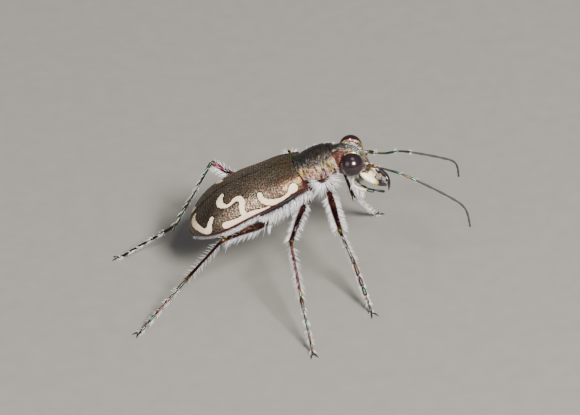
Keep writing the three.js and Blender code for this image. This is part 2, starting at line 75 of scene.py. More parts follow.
def soft_light(name, place, size, watts, colour):
    """A square lamp that faces the beetle"""
    bpy.ops.object.light_add(type="AREA", location=place)
    lamp = bpy.context.object
    lamp.name = name
    lamp.data.size = size
    lamp.data.energy = watts
    lamp.data.color = colour
    lamp.rotation_euler = Vector(place).to_track_quat("Z", "Y").to_euler()


soft_light("key", (0.12, -0.26, 0.27), size=0.1, watts=5.6, colour=(1, 0.97, 0.92))
soft_light("fill", (-0.3, -0.2, 0.22), size=0.25, watts=0.45, colour=(0.9, 0.95, 1))
soft_light("overhead", (0.06, 0.02, 0.42), size=0.16, watts=0.3, colour=(1, 1, 1))
world = bpy.data.worlds.new("studio")
world.use_nodes = True
backdrop = world.node_tree.nodes["Background"]
backdrop.inputs["Color"].default_value = (0.62, 0.66, 0.72, 1)
backdrop.inputs["Strength"].default_value = 0.13
bpy.context.scene.world = world


# Floor: a plain pale sheet of matt board that the beetle stands on, with a faint grain. It is
# larger than any view of it.
class Value:
    """One output of a material's nodes. Sums and products with it add Math nodes."""

    def __init__(self, finish, socket):
        self.finish = finish
        self.socket = socket

    def math(self, operation, *values):
        return self.finish.node("ShaderNodeMath", {"operation": operation}, dict(enumerate(values)))

    def __add__(self, other):
        return self.math("ADD", self, other)

    __radd__ = __add__

    def __mul__(self, other):
        return self.math("MULTIPLY", self, other)

    __rmul__ = __mul__

    def __sub__(self, other):
        return self.math("SUBTRACT", self, other)

    def __rsub__(self, other):
        return self.math("SUBTRACT", other, self)

    def __abs__(self):
        return self.math("ABSOLUTE", self)

    def between(self, low, high):
        """0 below low, 1 above high and a smooth step between them; high may be the lower one"""
        return self.finish.node("ShaderNodeMapRange", {"interpolation_type": "SMOOTHSTEP"},
                                {"Value": self, "From Min": low, "From Max": high})


class Finish:
    """A material: nodes are added with node(), and give() sets what its shader takes"""

    def __init__(self, name, **constants):
        self.material = bpy.data.materials.new(name)
        self.material.use_nodes = True
        self.tree = self.material.node_tree
        self.shader = self.tree.nodes["Principled BSDF"]
        self.give(**constants)

    def fill(self, socket, value):
        if isinstance(value, Value):
            self.tree.links.new(value.socket, socket)
        elif socket.type == "RGBA":
            socket.default_value = (*value, 1)
        else:
            socket.default_value = value

    def node(self, kind, settings=None, sockets=None, output=0):
        made = self.tree.nodes.new(kind)
        for name, setting in (settings or {}).items():
            if name == "stops":
                ramp = made.color_ramp
                while len(ramp.elements) < len(setting):
                    ramp.elements.new(0.5)
                for element, (position, colour) in zip(ramp.elements, setting):
                    element.position = position
                    element.color = (*colour, 1)
            else:
                setattr(made, name, setting)
        for name, value in (sockets or {}).items():
            self.fill(made.inputs[name], value)
        return Value(self, made.outputs[output])

    def give(self, **values):
        for name, value in values.items():
            socket = name.replace("_", " ").title().replace("Ior", "IOR")
            self.fill(self.shader.inputs[socket], value)

    def place(self):
        return self.node("ShaderNodeTexCoord", output="Object")

    def stored(self, name, output="Fac"):
        return self.node("ShaderNodeAttribute", {"attribute_name": name}, output=output)

    def axes(self, vector):
        first = self.node("ShaderNodeSeparateXYZ", sockets={"Vector": vector})
        return [Value(self, socket) for socket in first.socket.node.outputs]

    def stretched(self, vector, scale):
        return self.node("ShaderNodeMapping", sockets={"Vector": vector, "Scale": scale})

    def noise(self, vector, scale, detail=3.0, roughness=0.5):
        return self.node("ShaderNodeTexNoise", sockets={
            "Vector": vector, "Scale": scale, "Detail": detail, "Roughness": roughness})

    def cells(self, vector, scale, output="Distance", randomness=0.8):
        return self.node("ShaderNodeTexVoronoi", sockets={
            "Vector": vector, "Scale": scale, "Randomness": randomness}, output=output)

    def ramp(self, value, stops):
        return self.node("ShaderNodeValToRGB", {"stops": stops}, {"Fac": value})

    def mix(self, share, first, second):
        """A Mix node for colours, with its share at socket 0 and its two colours at 6 and 7"""
        return self.node("ShaderNodeMix", {"data_type": "RGBA"}, {0: share, 6: first, 7: second}, 2)

    def bump(self, height, depth_mm, before=None):
        sockets = {"Height": height, "Strength": 1.0, "Distance": depth_mm * MM}
        if before:
            sockets["Normal"] = before
        return self.node("ShaderNodeBump", sockets=sockets)


bpy.ops.mesh.primitive_plane_add(size=3)
floor = bpy.context.object
floor.name = "floor"
pale = Finish("pale_floor", roughness=0.85)
grain = pale.noise(pale.place(), 900, 4)
pale.give(base_color=pale.mix(grain, (0.165, 0.158, 0.143), (0.2, 0.191, 0.174)))
floor.data.materials.append(pale.material)


# Wing cases: two hard, vaulted shells of bronze-brown chitin with tiny pits and smooth ivory
# markings. They meet along the middle of the back, and their rims turn in under the flanks.
def turned(axis, degrees):
    return np.array(Matrix.Rotation(math.radians(degrees), 4, axis))


def moved(x, y, z):
    return np.array(Matrix.Translation((x, y, z)))


# The legs stand in a frame that lies on the floor under the body. The body hangs in it, raised,
# nose up and leaning a little to its left.
BODY_HEIGHT, NOSE_UP, LEAN = 7.45, 20, 3
STANCE = moved(1.0692, 0.9870, 0)
RAISED = moved(0, 0, BODY_HEIGHT) @ turned("Y", -NOSE_UP) @ turned("X", -LEAN)
BODY = STANCE @ RAISED
SIDES = {"l": 1, "r": -1}
ELYTRA_FRONT, ELYTRA_REAR = -0.12, -8.0
VAULT_FRONT = -0.35
ELYTRA_HALF_WIDTH, ELYTRA_VAULT = 2.45, 1.62
MARGIN_FRONT, MARGIN_REAR = -0.12, -0.72
CASE_ROWS, CASE_COLUMNS = 300, 138
RIM_FROM, RIM_TUCK, RIM_DROP = 0.9, 0.34, 0.14
SHELL_THICKNESS = 0.09
SHOULDER_BULGE, CORNER_ROUNDING = 0.19, 0.3
NOTCH_DEPTH, NOTCH_HALF_WIDTH = 0.34, 0.32
FRONT_EDGE_SHARE = 0.16
BEAD_HEIGHT, DENT_DEPTH = 0.02, 0.02
SEAM_GAP = 0.012


def smooth(values, u):
    """A short list of values, spread evenly over u = 0 to 1, read as one smooth curve"""
    values = np.asarray(values, float)
    last = len(values) - 1
    at = np.clip(u, 0, 1) * last
    i = np.minimum(np.floor(at).astype(int), last - 1)
    f = at - i
    if values.ndim > 1:
        f = f[..., None]
    before, after = values[np.maximum(i - 1, 0)], values[np.minimum(i + 2, last)]
    rise, fall, step = (values[i + 1] - before) / 2, (after - values[i]) / 2, values[i + 1] - values[i]
    return values[i] + f * (rise + f * (3 * step - 2 * rise - fall + f * (rise + fall - 2 * step)))


def part_way(value, start, end):
    """How far value has come from start (0) to end (1)"""
    return np.clip((value - start) / (end - start), 0, 1)


def hump(value, middle, width):
    """A rounded hump, 1 at the middle"""
    return np.exp(-((value - middle) / width) ** 2)


def rounded_end(u, start):
    """1 up to start, then down to 0 at u = 1 as a quarter of an ellipse"""
    return np.sqrt(1 - part_way(u, start, 1) ** 2)


def placed(points, frame_of):
    """Points that are given in the frame of a body part, on the frame that carries it"""
    return points @ frame_of[:3, :3].T + frame_of[:3, 3]


def settle(piece, points, frame_of=BODY):
    """Puts a piece's vertices at points, in millimetres in the frame of a body part. It stores
    them too, for the finishes that follow the body part."""
    piece.data.vertices.foreach_set("co", (placed(points, frame_of) * MM).ravel())
    place = piece.data.attributes.new("own_place", "FLOAT_VECTOR", "POINT")
    place.data.foreach_set("vector", points.ravel())
    piece.data.update()


def store(piece, name, values):
    """Stores one number for each vertex"""
    piece.data.attributes.new(name, "FLOAT", "POINT").data.foreach_set("value", values)


def close_up(piece):
    """Merges doubled points, turns all faces outwards and shades them smooth"""
    shape = bmesh.new()
    shape.from_mesh(piece.data)
    bmesh.ops.remove_doubles(shape, verts=shape.verts, dist=1e-8)
    bmesh.ops.dissolve_degenerate(shape, edges=shape.edges, dist=1e-9)
    bmesh.ops.recalc_face_normals(shape, faces=shape.faces)
    shape.to_mesh(piece.data)
    shape.free()
    piece.data.polygons.foreach_set("use_smooth", [True] * len(piece.data.polygons))
    piece.data.update()


def dress(piece, finish, slot, *nodes):
    """Gives a finished piece its material and hides the solids it stands for. Its slot is not used."""
    piece.data.materials.clear()
    piece.data.materials.append(finish.material)
    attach(piece, "root")
    if nodes:
        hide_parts(*nodes)


def case_half_sizes(u):
    """Half width and height of the vault at a share u of the wing case's length"""
    x = ELYTRA_FRONT + (ELYTRA_REAR - ELYTRA_FRONT) * u
    u = part_way(x, VAULT_FRONT, ELYTRA_REAR)
    wide = smooth([0.78, 0.89, 0.92, 0.95, 0.98, 1, 1, 0.98, 0.96], u) * rounded_end(u, 0.68)
    tall = smooth([0.72, 0.84, 0.93, 0.98, 1, 1, 0.95, 0.88, 0.8], u) * rounded_end(u, 0.5)
    return ELYTRA_HALF_WIDTH * wide, ELYTRA_VAULT * tall


def case_surface(u, a, side):
    """A wing case: u runs from the shoulders to the tip, a from the seam to the rim by arc length"""
    u, a = np.broadcast_arrays(np.asarray(u, float), np.asarray(a, float))
    wide, tall = case_half_sizes(u)
    # The front end of the shell rounds down towards the prothorax
    front_round = part_way(u, 0.05, 0) ** 2
    wide, tall = wide * (1 - 0.09 * front_round), tall * (1 - 0.12 * front_round)
    # The section is boxy at the shoulders and round behind them
    angles = np.linspace(math.pi / 2, 0, 160)
    power = 1 / (1.15 + 0.35 * part_way(u, 0.35, 0) ** 1.5)[..., None]
    y = wide[..., None] * np.cos(angles) ** power
    z = tall[..., None] * np.clip(np.sin(angles), 0, 1) ** power
    steps = np.hypot(np.diff(y, axis=-1), np.diff(z, axis=-1))
    run = np.concatenate([np.zeros(u.shape + (1,)), np.cumsum(steps, -1)], -1)
    share = run / np.maximum(run[..., -1:], 1e-9)
    sections = zip(a.ravel(), *(values.reshape(-1, len(angles)) for values in (share, y, z)))
    read = np.array([(np.interp(at, runs, ys), np.interp(at, runs, zs)) for at, runs, ys, zs in sections])
    y, z = read.T.reshape(2, *u.shape)
    x = ELYTRA_FRONT + (ELYTRA_REAR - ELYTRA_FRONT) * u
    base = MARGIN_FRONT + (MARGIN_REAR - MARGIN_FRONT) * u
    # The front edge bulges at the shoulder, leaves a notch for the scutellum and rounds its corner
    edge = SHOULDER_BULGE * hump(y, 1.5, 0.4)
    edge -= NOTCH_DEPTH * part_way(y, NOTCH_HALF_WIDTH, 0)
    edge -= CORNER_ROUNDING * part_way(y, 1.62, 1.92) ** 2
    x = x + edge * part_way(u, FRONT_EDGE_SHARE, 0) ** 2
    z = z - 0.1 * part_way(u, 0.014, 0) ** 2
    # A low bead follows the seam, and the surface has a few broad, shallow dents
    bead = BEAD_HEIGHT * (hump(y, 0.06, 0.05) * part_way(tall, 0, 0.6))
    dents = DENT_DEPTH * np.sin(2.3 * x + 1.0) * np.sin(2.1 * y + 0.4) * part_way(y, 0, 1)
    return np.stack([x, side * np.maximum(y, SEAM_GAP), base + z + bead + dents], -1)


# Strokes of ivory on a wing case. Each point has its place along the body in millimetres, its
# share of the way out from the seam to the rim, and its half width in millimetres.
STROKES = {
    "shoulder crescent": [
        (-2.71, 0.64, 0.165), (-2.69, 0.72, 0.17), (-2.54, 0.80, 0.185), (-2.19, 0.88, 0.19),
        (-1.57, 0.923, 0.15), (-1.12, 0.906, 0.11), (-0.86, 0.885, 0.13), (-0.52, 0.835, 0.3)],
    "middle band": [
        (-5.1, 0.27, 0.16), (-5.25, 0.32, 0.21), (-5.32, 0.40, 0.24), (-5.22, 0.495, 0.19),
        (-4.89, 0.565, 0.1), (-4.6, 0.552, 0.09), (-4.3, 0.518, 0.14), (-3.99, 0.538, 0.175),
        (-3.89, 0.63, 0.185), (-4.0, 0.71, 0.17), (-4.04, 0.806, 0.175), (-3.96, 0.913, 0.2)],
    "side band": [
        (-2.38, 0.945, 0.03), (-2.88, 0.94, 0.1), (-3.52, 0.925, 0.19), (-4.08, 0.922, 0.19),
        (-4.7, 0.918, 0.18), (-5.13, 0.9, 0.21), (-5.38, 0.89, 0.2)],
    "tip crescent": [
        (-7.22, 0.18, 0.09), (-7.39, 0.25, 0.18), (-7.48, 0.38, 0.24), (-7.34, 0.645, 0.21),
        (-6.97, 0.833, 0.18), (-6.66, 0.88, 0.21), (-6.42, 0.815, 0.19), (-6.33, 0.742, 0.16),
        (-6.17, 0.69, 0.145), (-6.07, 0.655, 0.135)],
}


def marking_depth(points, side):
    """How far each point lies inside (below 0) or outside the ivory strokes, in millimetres"""
    nearest = np.full(len(points), np.inf)
    for stroke in STROKES.values():
        x, a, half = smooth(stroke, np.linspace(0, 1, 4 * len(stroke))).T
        path = case_surface((x - ELYTRA_FRONT) / (ELYTRA_REAR - ELYTRA_FRONT), a, side)
        for start, end, r0, r1 in zip(path, path[1:], half, half[1:]):
            run = end - start
            share = np.clip((points - start) @ run / max(run @ run, 1e-9), 0, 1)
            gap = np.linalg.norm(points - start - share[:, None] * run, axis=1) - (r0 + (r1 - r0) * share)
            nearest = np.minimum(nearest, gap)
    return nearest


PIT_STEP = 0.145
PIT_RADIUS = 0.056
PIT_DEPTH = 0.02


def pits_near(points, side, chance):
    """How deep each point lies in one of the fine pits, 0 to 1, and a number of 0 to 1 for that pit"""
    places = []
    rows = int((ELYTRA_FRONT - ELYTRA_REAR) / PIT_STEP)
    for row in range(rows):
        u = (row + 0.5) / rows
        across = case_surface(u, np.linspace(0, 1, 12), side)
        count = max(int(np.linalg.norm(np.diff(across, axis=0), axis=1).sum() / PIT_STEP), 3)
        a = (np.arange(count) + 0.25 + 0.5 * (row % 2) + chance.uniform(-0.25, 0.25, count)) / count
        places.append(case_surface(u + chance.uniform(-0.25, 0.25, count) / rows, a, side))
    places = np.concatenate(places)
    tree = KDTree(len(places))
    for number, place in enumerate(places):
        tree.insert(place, number)
    tree.balance()
    found = [tree.find(point) for point in points]
    gaps = np.array([gap for _, _, gap in found])
    tints = chance.uniform(0, 1, len(places))[[number for _, number, _ in found]]
    return np.clip(1 - (gaps / PIT_RADIUS) ** 2, 0, 1), tints


def make_wing_case(name, side):
    bpy.ops.mesh.primitive_grid_add(x_subdivisions=CASE_ROWS, y_subdivisions=CASE_COLUMNS, size=2)
    case = bpy.context.object
    case.name = name
    sheet = np.empty(3 * len(case.data.vertices))
    case.data.vertices.foreach_get("co", sheet)
    along, out, _ = (sheet.reshape(-1, 3).T + 1) / 2
    # The rows lie closer together towards the tip
    u = 0.55 * along + 0.45 * np.sin(along * math.pi / 2)
    a = np.minimum(out / RIM_FROM, 1)
    points = case_surface(u, a, side)
    # Past the rim the shell turns in under the flank
    tuck = part_way(out, RIM_FROM, 1)
    wide, _ = case_half_sizes(u)
    inward = np.minimum(RIM_TUCK, 0.6 * wide) * np.sin(tuck * math.pi / 2)
    points[:, 1] -= side * inward
    points[:, 0] += 0.3 * inward * part_way(u, 0.8, 1)
    points[:, 2] -= RIM_DROP * np.sin(tuck * math.pi) + 0.04 * tuck
    pit, tint = pits_near(points, side, np.random.default_rng(3))
    points[:, 2] -= PIT_DEPTH * pit ** 1.5 * (1 - tuck)
    settle(case, points)
    store(case, "pit", pit)
    store(case, "tint", tint)
    store(case, "outward", a + tuck)
    store(case, "ivory_depth", marking_depth(points, side))
    close_up(case)
    if case.data.polygons[len(case.data.polygons) // 2].normal.z < 0:
        case.data.flip_normals()
    shell = case.modifiers.new("shell", "SOLIDIFY")
    shell.thickness = SHELL_THICKNESS * MM
    shell.use_even_offset = False
    bpy.ops.object.modifier_apply(modifier="shell")
    return case


GLINTS_PER_METRE = 7000

bronze = Finish("bronze_wing_case")
where = bronze.place()
pit = bronze.stored("pit")
glint_gap = bronze.cells(where, GLINTS_PER_METRE)
glint_hue, glint_share, _ = bronze.axes(bronze.cells(where, GLINTS_PER_METRE, "Color"))
net = bronze.cells(where, 23000)
cloud = bronze.noise(where, 800)
ground = bronze.mix(cloud.between(0.35, 0.65), (0.6, 0.44, 0.32), (0.74, 0.59, 0.45))
ground = bronze.mix(net.between(0.3, 0.62) * 0.6, ground, (0.06, 0.035, 0.026))
glint = bronze.ramp(glint_hue, [
    (0.08, (0.02, 0.34, 0.12)), (0.22, (0.8, 0.1, 0.14)), (0.38, (0.85, 0.5, 0.06)),
    (0.5, (0.03, 0.16, 0.42)), (0.64, (0.85, 0.28, 0.26)), (0.78, (0.08, 0.42, 0.06)),
    (0.9, (0.9, 0.76, 0.6))])
has_glint = glint_gap.between(0.5, 0.28) * glint_share.between(0.26, 0.32)
ground = bronze.mix(has_glint * 0.95, ground, glint)
# The pits are dark with a tint of their own, and their darkness is partly painted shade in the hollows
pit_tint_and_shade = bronze.ramp(bronze.stored("tint"), [
    (0.0, (0.01, 0.06, 0.04)), (0.35, (0.05, 0.014, 0.012)), (0.55, (0.012, 0.02, 0.06)),
    (0.75, (0.015, 0.07, 0.03)), (1.0, (0.08, 0.03, 0.03))])
ground = bronze.mix(pit.between(0.02, 0.5) * 0.9, ground, pit_tint_and_shade)
own_x, own_y, _ = bronze.axes(bronze.stored("own_place", "Vector"))
from_seam = abs(own_y)
# Gold and green gather along the front edge and the shoulder, partly as the shell's colour and partly as
# painted glints
gold_and_glints = own_x.between(-1.9, -0.4) * cloud.between(0.3, 0.55) * pit.between(0.4, 0.0)
ground = bronze.mix(gold_and_glints * 0.75, ground, bronze.ramp(glint_hue, [
    (0.2, (0.42, 0.2, 0.01)), (0.4, (0.02, 0.24, 0.05)), (0.55, (0.46, 0.05, 0.12)),
    (0.7, (0.48, 0.28, 0.015)), (0.85, (0.02, 0.2, 0.16))]))
# Painted shade darkens the shoulder and the outer flank to a deeper bronze, toning down the highlight
# there, and the markings stand out on it
flank_painted_shade = from_seam.between(0.9, 1.5) * (own_x.between(-2.6, -1.2) * 0.3 + 0.42)
ground = bronze.mix(flank_painted_shade, ground, (0.13, 0.07, 0.045))
# Painted shade makes the rear of the case nearly black, and the seam between the cases too
ground = bronze.mix(own_x.between(-4.2, -7.0) * 0.62, ground, (0.035, 0.026, 0.024))
ground = bronze.mix(from_seam.between(0.1, 0.02) * 0.9, ground, (0.008, 0.006, 0.008))
# The shell darkens to brown close round each marking
ivory_depth = bronze.stored("ivory_depth")
ground = bronze.mix(ivory_depth.between(0.11, 0.02) * 0.75, ground, (0.05, 0.026, 0.016))
wobble = (bronze.noise(where, 5200, 3, 0.65) - 0.5) * 0.18
ivory_mask = (ivory_depth + wobble).between(0.016, -0.016)
ivory_tone_and_shade = bronze.mix(bronze.noise(where, 2600), (0.6, 0.46, 0.29), (0.78, 0.66, 0.48))
# Painted shade: the markings turn darker and tan towards the seam, on their upper parts
ivory_tone_and_shade = bronze.mix(from_seam.between(1.35, 0.8) * 0.5, ivory_tone_and_shade, (0.5, 0.36, 0.2))
# Painted shade darkens the pits within the markings
ivory_tone_and_shade = bronze.mix(pit * 0.22, ivory_tone_and_shade, (0.4, 0.28, 0.16))
shell_tone = bronze.mix(ivory_mask, ground, ivory_tone_and_shade)
rim_dark = bronze.stored("outward").between(0.945, 0.97)
bronze.give(base_color=bronze.mix(rim_dark, shell_tone, (0.05, 0.009, 0.01)))
bronze.give(metallic=(1 - ivory_mask) * (1 - rim_dark * 0.5))
bronze.give(roughness=0.44 + ivory_mask * 0.06 - rim_dark * 0.16)
reticule = bronze.bump(net * (1 - ivory_mask * 0.7), 0.009)
grains = bronze.bump(glint_gap * (1 - ivory_mask * 0.8), 0.02, reticule)
bronze.give(normal=bronze.bump(cloud, 0.05, grains))

for hand, side in SIDES.items():
    case = make_wing_case(f"wing_case_{hand}", side)
    dress(case, bronze, "wing_case", f"elytron_{hand}")


# Scutellum: the small three-cornered plate of dark bronze chitin between the bases of the wing
# cases. It lies in the notch of their front edge.
SCUTELLUM_FRONT, SCUTELLUM_LENGTH = -0.14, 0.46
SCUTELLUM_HALF_WIDTH = 0.3
SCUTELLUM_LEVEL, SCUTELLUM_THICKNESS = 1.0, 0.06


def ball_grid(name, sides, rows):
    """A ball, with the row (0 to 1, pole to pole) and the angle of each of its points"""
    bpy.ops.mesh.primitive_uv_sphere_add(segments=sides, ring_count=rows)
    piece = bpy.context.object
    piece.name = name
    points = np.empty(3 * len(piece.data.vertices))
    piece.data.vertices.foreach_get("co", points)
    x, y, z = points.reshape(-1, 3).T
    row = np.round(np.arccos(np.clip(z, -1, 1)) / math.pi * rows) / rows
    return piece, row, np.where((row == 0) | (row == 1), 0, np.arctan2(y, x))


def lofted(name, surface, sides, rows, frame_of=BODY):
    """A closed skin: the rings of a ball moved onto surface(row, angle)"""
    piece, row, angle = ball_grid(name, sides, rows)
    settle(piece, surface(row, angle), frame_of)
    close_up(piece)
    return piece


def end_caps(v, cap):
    """Reads a ball's rows as a run along a form, whose ends close over the share cap"""
    near_end = np.minimum(part_way(v, 0, cap), part_way(v, 1, 1 - cap))
    return part_way(v, cap, 1 - cap), np.sin(near_end * math.pi / 2)


def squared(angle, power):
    """Sideways and upward parts of a section, squared off by power"""
    return [np.sign(part) * np.abs(part) ** (1 / power) for part in (np.cos(angle), np.sin(angle))]


def scutellum_surface(v, angle):
    u, closing = end_caps(v, 0.12)
    half = (SCUTELLUM_HALF_WIDTH * (1 - u) ** 0.8 + 0.015) * closing
    rise = SCUTELLUM_THICKNESS * closing * np.sin(angle) * (1 - 0.5 * u)
    x = SCUTELLUM_FRONT - SCUTELLUM_LENGTH * u
    return np.stack([x, half * np.cos(angle), SCUTELLUM_LEVEL + rise], -1)


# The lower edge of the prothorax climbs by this share towards its rear
SIDE_EDGE_SLOPE = 0.24

fore = Finish("fore_body_bronze")
own = fore.stored("own_place", "Vector")
x, _, z = fore.axes(own)
wrinkles = fore.noise(fore.stretched(own, (9, 2.5, 2.5)), 1.0, 5, 0.7)
fine = fore.noise(fore.place(), 11000, 4, 0.6)
film = fore.noise(fore.stretched(own, (6, 2.2, 2.2)), 1.0, 4, 0.7)
metal = fore.ramp((film - 0.5) * 2.8 + (fine - 0.5) * 1.3 + 0.5, [
    (0.04, (0.015, 0.22, 0.28)), (0.14, (0.02, 0.34, 0.08)), (0.25, (0.6, 0.5, 0.06)),
    (0.36, (0.4, 0.05, 0.08)), (0.46, (0.8, 0.52, 0.34)), (0.56, (0.75, 0.06, 0.28)),
    (0.66, (0.8, 0.58, 0.1)), (0.76, (0.03, 0.4, 0.08)), (0.86, (0.03, 0.2, 0.42)),
    (0.96, (0.76, 0.14, 0.4))])
# Painted shade darkens the grooves between the wrinkles
metal = fore.mix(wrinkles.between(0.54, 0.43) * 0.92, metal, (0.03, 0.013, 0.013))
# Painted shade makes the back steel blue to black; the lower flank is dark red, and the rear collar
# catches green
painted_dark_top = (z + (wrinkles - 0.5) * 0.4).between(0.6, 0.9)
metal = fore.mix(painted_dark_top * 0.84, metal, (0.026, 0.042, 0.046))
collar = x.between(0.24, 0.12) * (1 - painted_dark_top)
metal = fore.mix(collar * 0.3, metal, (0.25, 0.3, 0.04))
below_edge = (z + x * SIDE_EDGE_SLOPE).between(0.12, 0.06)
fore.give(base_color=fore.mix(below_edge, metal, (0.035, 0.007, 0.009)))
fore.give(roughness=0.28 + wrinkles * 0.15)
fore.give(metallic=0.9 - below_edge * 0.5)
fore.give(normal=fore.bump(wrinkles, 0.14, fore.bump(fine, 0.03)))

scutellum = lofted("scutellum", scutellum_surface, 24, 12)
dress(scutellum, fore, "fore_shell")


# Prothorax: a barrel of coppery chitin with a groove behind its front collar and one before its
# rear collar, a faint line down the back and fine wrinkles across. Its lower flanks are dark red.
PRONOTUM_REAR, PRONOTUM_FRONT = -0.2, 2.3
REAR_GROOVE, FRONT_GROOVE, GROOVE_WIDTH = 0.16, 0.86, 0.028
# How deep the marks cut in, as shares of the girth. The grooves are deeper by so much on the flanks.
GROOVE_DEPTH, FLANK_DEPTH, LINE_DEPTH, WRINKLE_DEPTH = 0.03, 0.06, 0.025, 0.006
BACK_EDGE_LEVEL = 0.1


def prothorax_surface(v, angle):
    u, closing = end_caps(v, 0.035)
    side, rise = squared(angle, 1.1)
    wide = smooth([1.24, 1.22, 1.33, 1.36, 1.33, 1.2, 1.06], u)
    top = smooth([1.04, 1.06, 1.1, 1.13, 1.13, 1.09, 0.93], u)
    low = smooth([0.95, 0.9, 1.04, 1.1, 1.08, 0.95, 1.0], u)
    # Both grooves are deepest on the flanks, where the front one runs back a little
    flank = np.abs(side)
    grooves = hump(u, REAR_GROOVE, GROOVE_WIDTH) + hump(u, FRONT_GROOVE - 0.05 * flank, GROOVE_WIDTH)
    line = hump(np.cos(angle), 0, 0.05) * (rise > 0) * hump(u, 0.5, 0.3)
    x = PRONOTUM_REAR + (PRONOTUM_FRONT - PRONOTUM_REAR) * u
    wrinkle = np.sin(74 * x + 2.4 * np.sin(5 * angle + 1.5 * x) + 1.7 * np.sin(11 * angle))
    wrinkle *= part_way(np.abs(u - 0.5), 0.42, 0) ** 0.5
    grooves *= GROOVE_DEPTH + FLANK_DEPTH * flank
    girth = closing * (1 - grooves - LINE_DEPTH * line + WRINKLE_DEPTH * wrinkle)
    z = BACK_EDGE_LEVEL + 0.02 * u + rise * np.where(rise > 0, top, low) * girth
    # The back overlaps the lower flank with a low edge
    under = part_way(z + x * SIDE_EDGE_SLOPE, BACK_EDGE_LEVEL, BACK_EDGE_LEVEL - 0.05)
    return np.stack([x, side * wide * girth * (1 - 0.05 * under), z], -1)


prothorax = lofted("prothorax", prothorax_surface, 128, 190)
dress(prothorax, fore, "fore_shell", "pronotum")


# Hind body: the underside of blue-black and dark red chitin, with a broad breast plate that
# carries the middle and hind legs, and belly plates that narrow to the tip.
UNDERSIDE_FRONT, UNDERSIDE_REAR = 0.25, -8.05
BELLY_END = -8.15
BELLY_DROP = 0.25
BREAST_DEPTH = 0.75
PLATES_FROM, PLATE_LENGTH, PLATE_STEP = -3.4, 0.72, 0.035


def underside_surface(v, angle):
    u, closing = end_caps(v, 0.03)
    side, rise = squared(angle, 1.05)
    x = UNDERSIDE_FRONT + (UNDERSIDE_REAR - UNDERSIDE_FRONT) * u
    along = part_way(x, VAULT_FRONT, BELLY_END)
    wide = smooth([0.62, 0.78, 0.8, 0.78, 0.76, 0.74, 0.7], along) * rounded_end(along, 0.6)
    low = smooth([0.85, 1, 1, 1, 1, 0.95, 0.8], along) * rounded_end(along, 0.7)
    # It grows narrower and deeper towards the prothorax
    neck = part_way(x, VAULT_FRONT, UNDERSIDE_FRONT)
    wide = ELYTRA_HALF_WIDTH * wide * (1 - 0.35 * neck)
    low = BREAST_DEPTH * low + 0.25 * neck
    top = np.minimum(0.7, 0.45 * wide + 0.02) + 0.2 * neck
    # Each belly plate overlaps the next with a low step
    plate = (PLATES_FROM - x) / PLATE_LENGTH
    step = np.where(plate > 0, PLATE_STEP * (1 - plate % 1) ** 3, 0)
    level = MARGIN_FRONT + (MARGIN_REAR - MARGIN_FRONT) * along - BELLY_DROP
    z = level + rise * np.where(rise > 0, top * closing, low * closing - step)
    return np.stack([x, side * wide * closing * 0.98, z], -1)


belly = Finish("underside_shell", metallic=0.6)
where = belly.place()
belly.give(base_color=belly.ramp(belly.noise(where, 700), [
    (0.3, (0.045, 0.009, 0.01)), (0.5, (0.03, 0.012, 0.014)), (0.62, (0.01, 0.03, 0.035)),
    (0.75, (0.015, 0.02, 0.05))]))
belly.give(roughness=0.28 + belly.noise(where, 3000) * 0.2)
belly.give(normal=belly.bump(belly.cells(where, 9000), 0.015))

underside = lofted("underside", underside_surface, 96, 200)
dress(underside, belly, "underside", "thorax", "abdomen")


# Mid collar: the front of the middle body, a ring of dark red chitin. It slopes from the
# prothorax up to the wing cases and closes the gap under their front edge.
MID_COLLAR_FRONT, MID_COLLAR_LENGTH = 0.12, 1.1
MID_COLLAR_LEVEL, MID_COLLAR_DEPTH = -0.15, 0.62


def mid_collar_surface(v, angle):
    u, closing = end_caps(v, 0.06)
    side, rise = squared(angle, 1.3)
    wide, tall = case_half_sizes(0)
    half = wide * smooth([0.62, 0.83, 0.89, 0.92, 0.94, 0.95, 0.95], u) * closing
    top = tall * smooth([0.6, 0.76, 0.83, 0.88, 0.9, 0.92, 0.92], u) * closing
    z = MID_COLLAR_LEVEL + rise * np.where(rise > 0, top, MID_COLLAR_DEPTH * closing)
    return np.stack([MID_COLLAR_FRONT - MID_COLLAR_LENGTH * u, side * half, z], -1)


dark_red = Finish("mid_collar_red", roughness=0.42, metallic=0.4)
where = dark_red.place()
blush = dark_red.noise(where, 1500, 4).between(0.35, 0.65)
dark_red.give(base_color=dark_red.mix(blush, (0.014, 0.008, 0.01), (0.07, 0.014, 0.014)))
dark_red.give(normal=dark_red.bump(dark_red.noise(where, 6000, 4), 0.04))
dress(lofted("mid_collar", mid_collar_surface, 64, 40), dark_red, "underside")


# Head: a capsule of bronze chitin, finely grooved between the eyes. It hangs on a short neck and
# nods down from the prothorax, and its skin runs from the neck over the crown to the face.
HEAD = BODY @ moved(3.18, 0, -0.1) @ turned("Y", 55)
NECK, CROWN, FACE = np.array([(-0.62, 0, -0.72), (-0.1, 0, -0.02), (1.3, 0, -0.35)])
RIDGE_COUNT, RIDGE_HEIGHT = 56, 0.009


